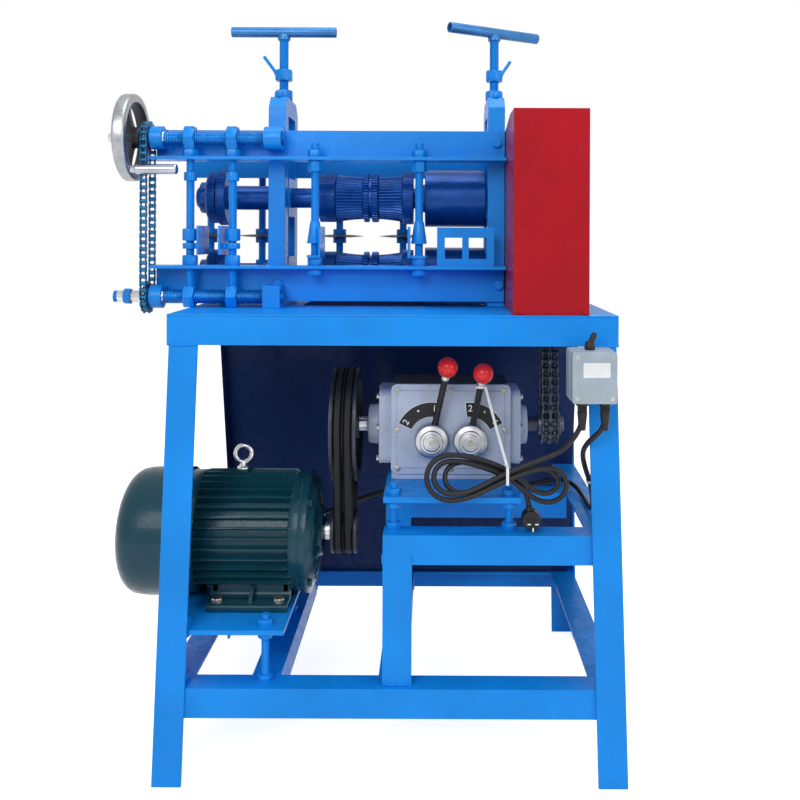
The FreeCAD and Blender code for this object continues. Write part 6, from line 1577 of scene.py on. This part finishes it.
def build_cover():
    """The red sheet cover over the drive chain, with its fixing screws."""
    red = FINISHES["cover_red"]
    merged_copy("red_cover", "chain_cover", red, "table", 0.95)
    head = [(-268.6, 0.5), (-268.6, 3.4), (-266.2, 4.4), (-265, 4.4), (-265, 0.5)]
    forms = [lathe("Y", (x, 796), head, 0.6, 24) for x in (219.7, 331.0)]
    forms += [hex_nut("X", (y, 800), 338, 341.5, 9, 0.2) for y in (-200, -60, 70)]
    piece("cover_screws", in_finish(red, *forms), "table", smooth=44)


# Switch box
def build_switch():
    """The switch box in two halves with a blank plate, screws and bracket, its glands and bent knob."""
    halves = (slab(296, 370, -318, -280, 653, 738, 5, "Y"),
              slab(296.4, 369.6, -350, -319.2, 653.4, 737.6, 5, "Y"),
              slab(298, 368, -320, -317, 655, 736, 4, "Y"))
    piece("switch_case", in_finish(FINISHES["switch_grey"], *halves), "table", "switch_box",
          bevel=1.3, segments=3)
    dimple = [(-350.25, 0.4), (-349.9, 1.6), (-350.3, 2.0), (-350.4, 3.4), (-349.6, 3.9), (-349.6, 0.4)]
    screws = [turned("Y", (x, z), dimple, 24) for x in (304.5, 361.5) for z in (661.5, 729.5)]
    plate = slab(314, 358, -350.2, -349.5, 696.5, 720.5, 1.5, "Y")
    bracket = slab(337, 366, -280.2, -274.2, 654, 713, 2, "Y")
    forms = in_finish(FINISHES["mark_white"], plate) + in_finish(FINISHES["zinc_steel"], *screws)
    piece("switch_details", forms + in_finish(FINISHES["frame_blue"], bracket), "table")
    build_glands()
    build_knob()


def build_glands():
    """The two cable glands: a hexagon and a knurled sleeve round each cord."""
    def knurl(along, angle, radius):
        return radius - 0.35 * (radius > 7.5) * (1 + np.cos(angle * 24))
    sleeve = [(633, 4.6), (633, 6.8), (635, 8), (645.2, 8), (645.2, 4.6)]
    forms = []
    for route in (SUPPLY_ROUTE, LEAD_ROUTE):
        spot = route[0][:2]
        forms.append(hex_nut("Z", spot, 645, 653, 20, 0.5))
        forms.append(eased_ring("Z", spot, sleeve, 0.6, 48, 2, knurl))
    piece("gland_nuts", in_finish(FINISHES["black_plastic"], *forms), "table", "cable_glands",
          smooth=44)


def build_knob():
    """The switch's knob: a stepped stem turned about its pivot and a tapering blade leaning right."""
    x, y = PIVOTS["switch_knob_turn"][:2]
    stem = [(738.3, 0.5), (738.3, 9), (744, 9), (746, 8), (752.3, 7), (752.3, 0.5)]
    turn = math.radians(24)
    base = np.array((x, y, 746.0))
    tip = base + np.array((math.sin(turn), 0, math.cos(turn))) * 22
    blade = rod(base, tip, [(0, 5.6), (0.2, 5.0), (0.7, 5.0), (0.92, 4.4), (1, 2.6)], 28)
    forms = in_finish(FINISHES["black_plastic"], lathe("Z", (x, y), stem, 0.8, 36, 3), blade)
    piece("bent_knob", forms, "knob", "switch_knob", smooth=50)


# Editable sizes and colours
def picked(name, description, colour):
    """A colour that a user may change, as seen on the screen."""
    return bpy.props.FloatVectorProperty(name=name, description=description, subtype="COLOR_GAMMA", size=3,
                                         min=0, max=1, default=tuple(part / 255 for part in colour))


def number(name, description, value, unit="NONE"):
    """A number that a user may change."""
    return bpy.props.FloatProperty(name=name, description=description, default=value, unit=unit)


def count(name, description, value):
    """A whole number that a user may change."""
    return bpy.props.IntProperty(name=name, description=description, default=value)


class StripperSizes(bpy.types.PropertyGroup):
    """Sizes of the machine that a user may change."""

    cord_width: number("Cord width", "Diameter of the cords in millimetres", 9.0)
    supply_length: number("Supply cord", "Length of the supply cord", 1.6, "LENGTH")
    lead_length: number("Motor lead", "Length of the motor lead", 1.07, "LENGTH")
    edge_ease: number("Eased edges", "Rounding of steel edges in millimetres", 1.3)
    motor_fins: count("Motor fins", "Cooling fins round the motor", 38)
    roller_flutes: count("Roller flutes", "Flutes round each feed roller", 44)
    column_pitch: number("Column thread", "Pitch of the columns in millimetres", 2.2)
    lead_pitch: number("Lead screw thread", "Pitch of the lead screws in millimetres", 4.0)
    press_pitch: number("Press screw thread", "Pitch of the press screws in millimetres", 2.5)
    sky_level: number("Sky level", "Strength of the even light", 0.34)
    lamp_level: number("Lamp level", "Strength of the soft lamps", 0.62)


class StripperColours(bpy.types.PropertyGroup):
    """Colours of the machine that a user may change."""

    frame_blue: picked("Frame blue", "Paint of the frame and the head", (12, 136, 226))
    # The chute's colour is the blue paint darkened by painted shade from the table above.
    chute_shaded_blue: picked("Chute shaded blue", "Paint of the chute with the shade under the table painted in", (14, 42, 90))
    roller_blue: picked("Roller blue", "Sprayed steel of the rollers", (11, 74, 152))
    handle_blue: picked("Handle blue", "Worn paint of the press handles", (58, 118, 178))
    cover_red: picked("Cover red", "Paint of the chain cover", (166, 14, 30))
    motor_green: picked("Motor green", "Paint of the motor", (18, 66, 80))
    gearbox_grey: picked("Gearbox grey", "Paint of the gearbox", (172, 184, 206))
    switch_grey: picked("Switch grey", "Plastic of the switch box", (160, 174, 184))
    knob_red: picked("Knob red", "Balls of the gear levers", (222, 44, 50))


class STRIPPER_OT_finishes(bpy.types.Operator):
    """Make every paint, metal and plastic of the machine"""
    bl_idname = "stripper.finishes"
    bl_label = "Finishes"

    def execute(self, context):
        make_finishes()
        return {"FINISHED"}


class STRIPPER_OT_stage(bpy.types.Operator):
    """Set up the floor, the light and the camera"""
    bl_idname = "stripper.stage"
    bl_label = "Stage"

    def execute(self, context):
        build_stage()
        return {"FINISHED"}


class STRIPPER_OT_cords(bpy.types.Operator):
    """Lay the supply cord, its hank and plug, and the motor lead"""
    bl_idname = "stripper.cords"
    bl_label = "Cords"

    def execute(self, context):
        build_cords()
        return {"FINISHED"}


class STRIPPER_OT_table(bpy.types.Operator):
    """Build the welded table, the stand and the chute"""
    bl_idname = "stripper.table"
    bl_label = "Table"

    def execute(self, context):
        build_table()
        return {"FINISHED"}


class STRIPPER_OT_motor(bpy.types.Operator):
    """Build the motor with its fan, terminal box and fixings"""
    bl_idname = "stripper.motor"
    bl_label = "Motor"

    def execute(self, context):
        build_motor()
        return {"FINISHED"}


class STRIPPER_OT_belts(bpy.types.Operator):
    """Build the belts and the big pulley"""
    bl_idname = "stripper.belts"
    bl_label = "Belt drive"

    def execute(self, context):
        build_belts()
        return {"FINISHED"}


class STRIPPER_OT_gearbox(bpy.types.Operator):
    """Build the gearbox with its cover, dials and levers"""
    bl_idname = "stripper.gearbox"
    bl_label = "Gearbox"

    def execute(self, context):
        build_gearbox()
        return {"FINISHED"}


class STRIPPER_OT_chains(bpy.types.Operator):
    """Build both chains link by link"""
    bl_idname = "stripper.chains"
    bl_label = "Chains"

    def execute(self, context):
        build_chains()
        return {"FINISHED"}


class STRIPPER_OT_rollers(bpy.types.Operator):
    """Build the two roller shafts and the output shaft"""
    bl_idname = "stripper.rollers"
    bl_label = "Rollers"

    def execute(self, context):
        build_rollers()
        return {"FINISHED"}


class STRIPPER_OT_head(bpy.types.Operator):
    """Build the press frames, rails, bearings and plates"""
    bl_idname = "stripper.head"
    bl_label = "Head"

    def execute(self, context):
        build_head()
        return {"FINISHED"}


class STRIPPER_OT_columns(bpy.types.Operator):
    """Build the fixed columns and the slitting knives"""
    bl_idname = "stripper.columns"
    bl_label = "Columns and knives"

    def execute(self, context):
        build_columns()
        return {"FINISHED"}


class STRIPPER_OT_guides(bpy.types.Operator):
    """Build the two side guides"""
    bl_idname = "stripper.guides"
    bl_label = "Side guides"

    def execute(self, context):
        build_guides()
        return {"FINISHED"}


class STRIPPER_OT_lead_screws(bpy.types.Operator):
    """Build the two lead screws"""
    bl_idname = "stripper.lead_screws"
    bl_label = "Lead screws"

    def execute(self, context):
        build_lead_screws()
        return {"FINISHED"}


class STRIPPER_OT_press_screws(bpy.types.Operator):
    """Build the press screws and their lock nuts"""
    bl_idname = "stripper.press_screws"
    bl_label = "Press screws"

    def execute(self, context):
        build_press_screws()
        return {"FINISHED"}


class STRIPPER_OT_handwheel(bpy.types.Operator):
    """Build the handwheel and its grip"""
    bl_idname = "stripper.handwheel"
    bl_label = "Handwheel"

    def execute(self, context):
        build_handwheel()
        return {"FINISHED"}


class STRIPPER_OT_cover(bpy.types.Operator):
    """Build the red chain cover"""
    bl_idname = "stripper.cover"
    bl_label = "Chain cover"

    def execute(self, context):
        build_cover()
        return {"FINISHED"}


class STRIPPER_OT_switch(bpy.types.Operator):
    """Build the switch box and its knob"""
    bl_idname = "stripper.switch"
    bl_label = "Switch box"

    def execute(self, context):
        build_switch()
        return {"FINISHED"}


OPERATORS = (
    STRIPPER_OT_finishes, STRIPPER_OT_stage, STRIPPER_OT_cords, STRIPPER_OT_table, STRIPPER_OT_motor,
    STRIPPER_OT_belts, STRIPPER_OT_gearbox, STRIPPER_OT_chains, STRIPPER_OT_rollers, STRIPPER_OT_head,
    STRIPPER_OT_columns, STRIPPER_OT_guides, STRIPPER_OT_lead_screws, STRIPPER_OT_press_screws,
    STRIPPER_OT_handwheel, STRIPPER_OT_cover, STRIPPER_OT_switch)


class STRIPPER_PT_pieces(bpy.types.Panel):
    """The machine's pieces in the order of building, with its sizes and colours"""
    bl_idname = "STRIPPER_PT_pieces"
    bl_label = "Cable Stripper"
    bl_space_type = "VIEW_3D"
    bl_region_type = "UI"
    bl_category = "Stripper"

    def draw(self, context):
        for operator in OPERATORS:
            self.layout.operator(operator.bl_idname)
        for group in (context.scene.stripper_sizes, context.scene.stripper_colours):
            for key in group.__annotations__:
                self.layout.prop(group, key)


CLASSES = (StripperSizes, StripperColours, *OPERATORS, STRIPPER_PT_pieces)


def register():
    """Makes the classes known and gives every scene the editable groups."""
    for kind in CLASSES:
        bpy.utils.register_class(kind)
    bpy.types.Scene.stripper_sizes = bpy.props.PointerProperty(type=StripperSizes)
    bpy.types.Scene.stripper_colours = bpy.props.PointerProperty(type=StripperColours)


def unregister():
    """Takes the groups and classes away again."""
    del bpy.types.Scene.stripper_colours
    del bpy.types.Scene.stripper_sizes
    for kind in reversed(CLASSES):
        bpy.utils.unregister_class(kind)


def main():
    """Builds everything in order."""
    register()
    for operator in OPERATORS:
        getattr(bpy.ops.stripper, operator.bl_idname.partition(".")[2])()


if __name__ == "__main__":
    main()
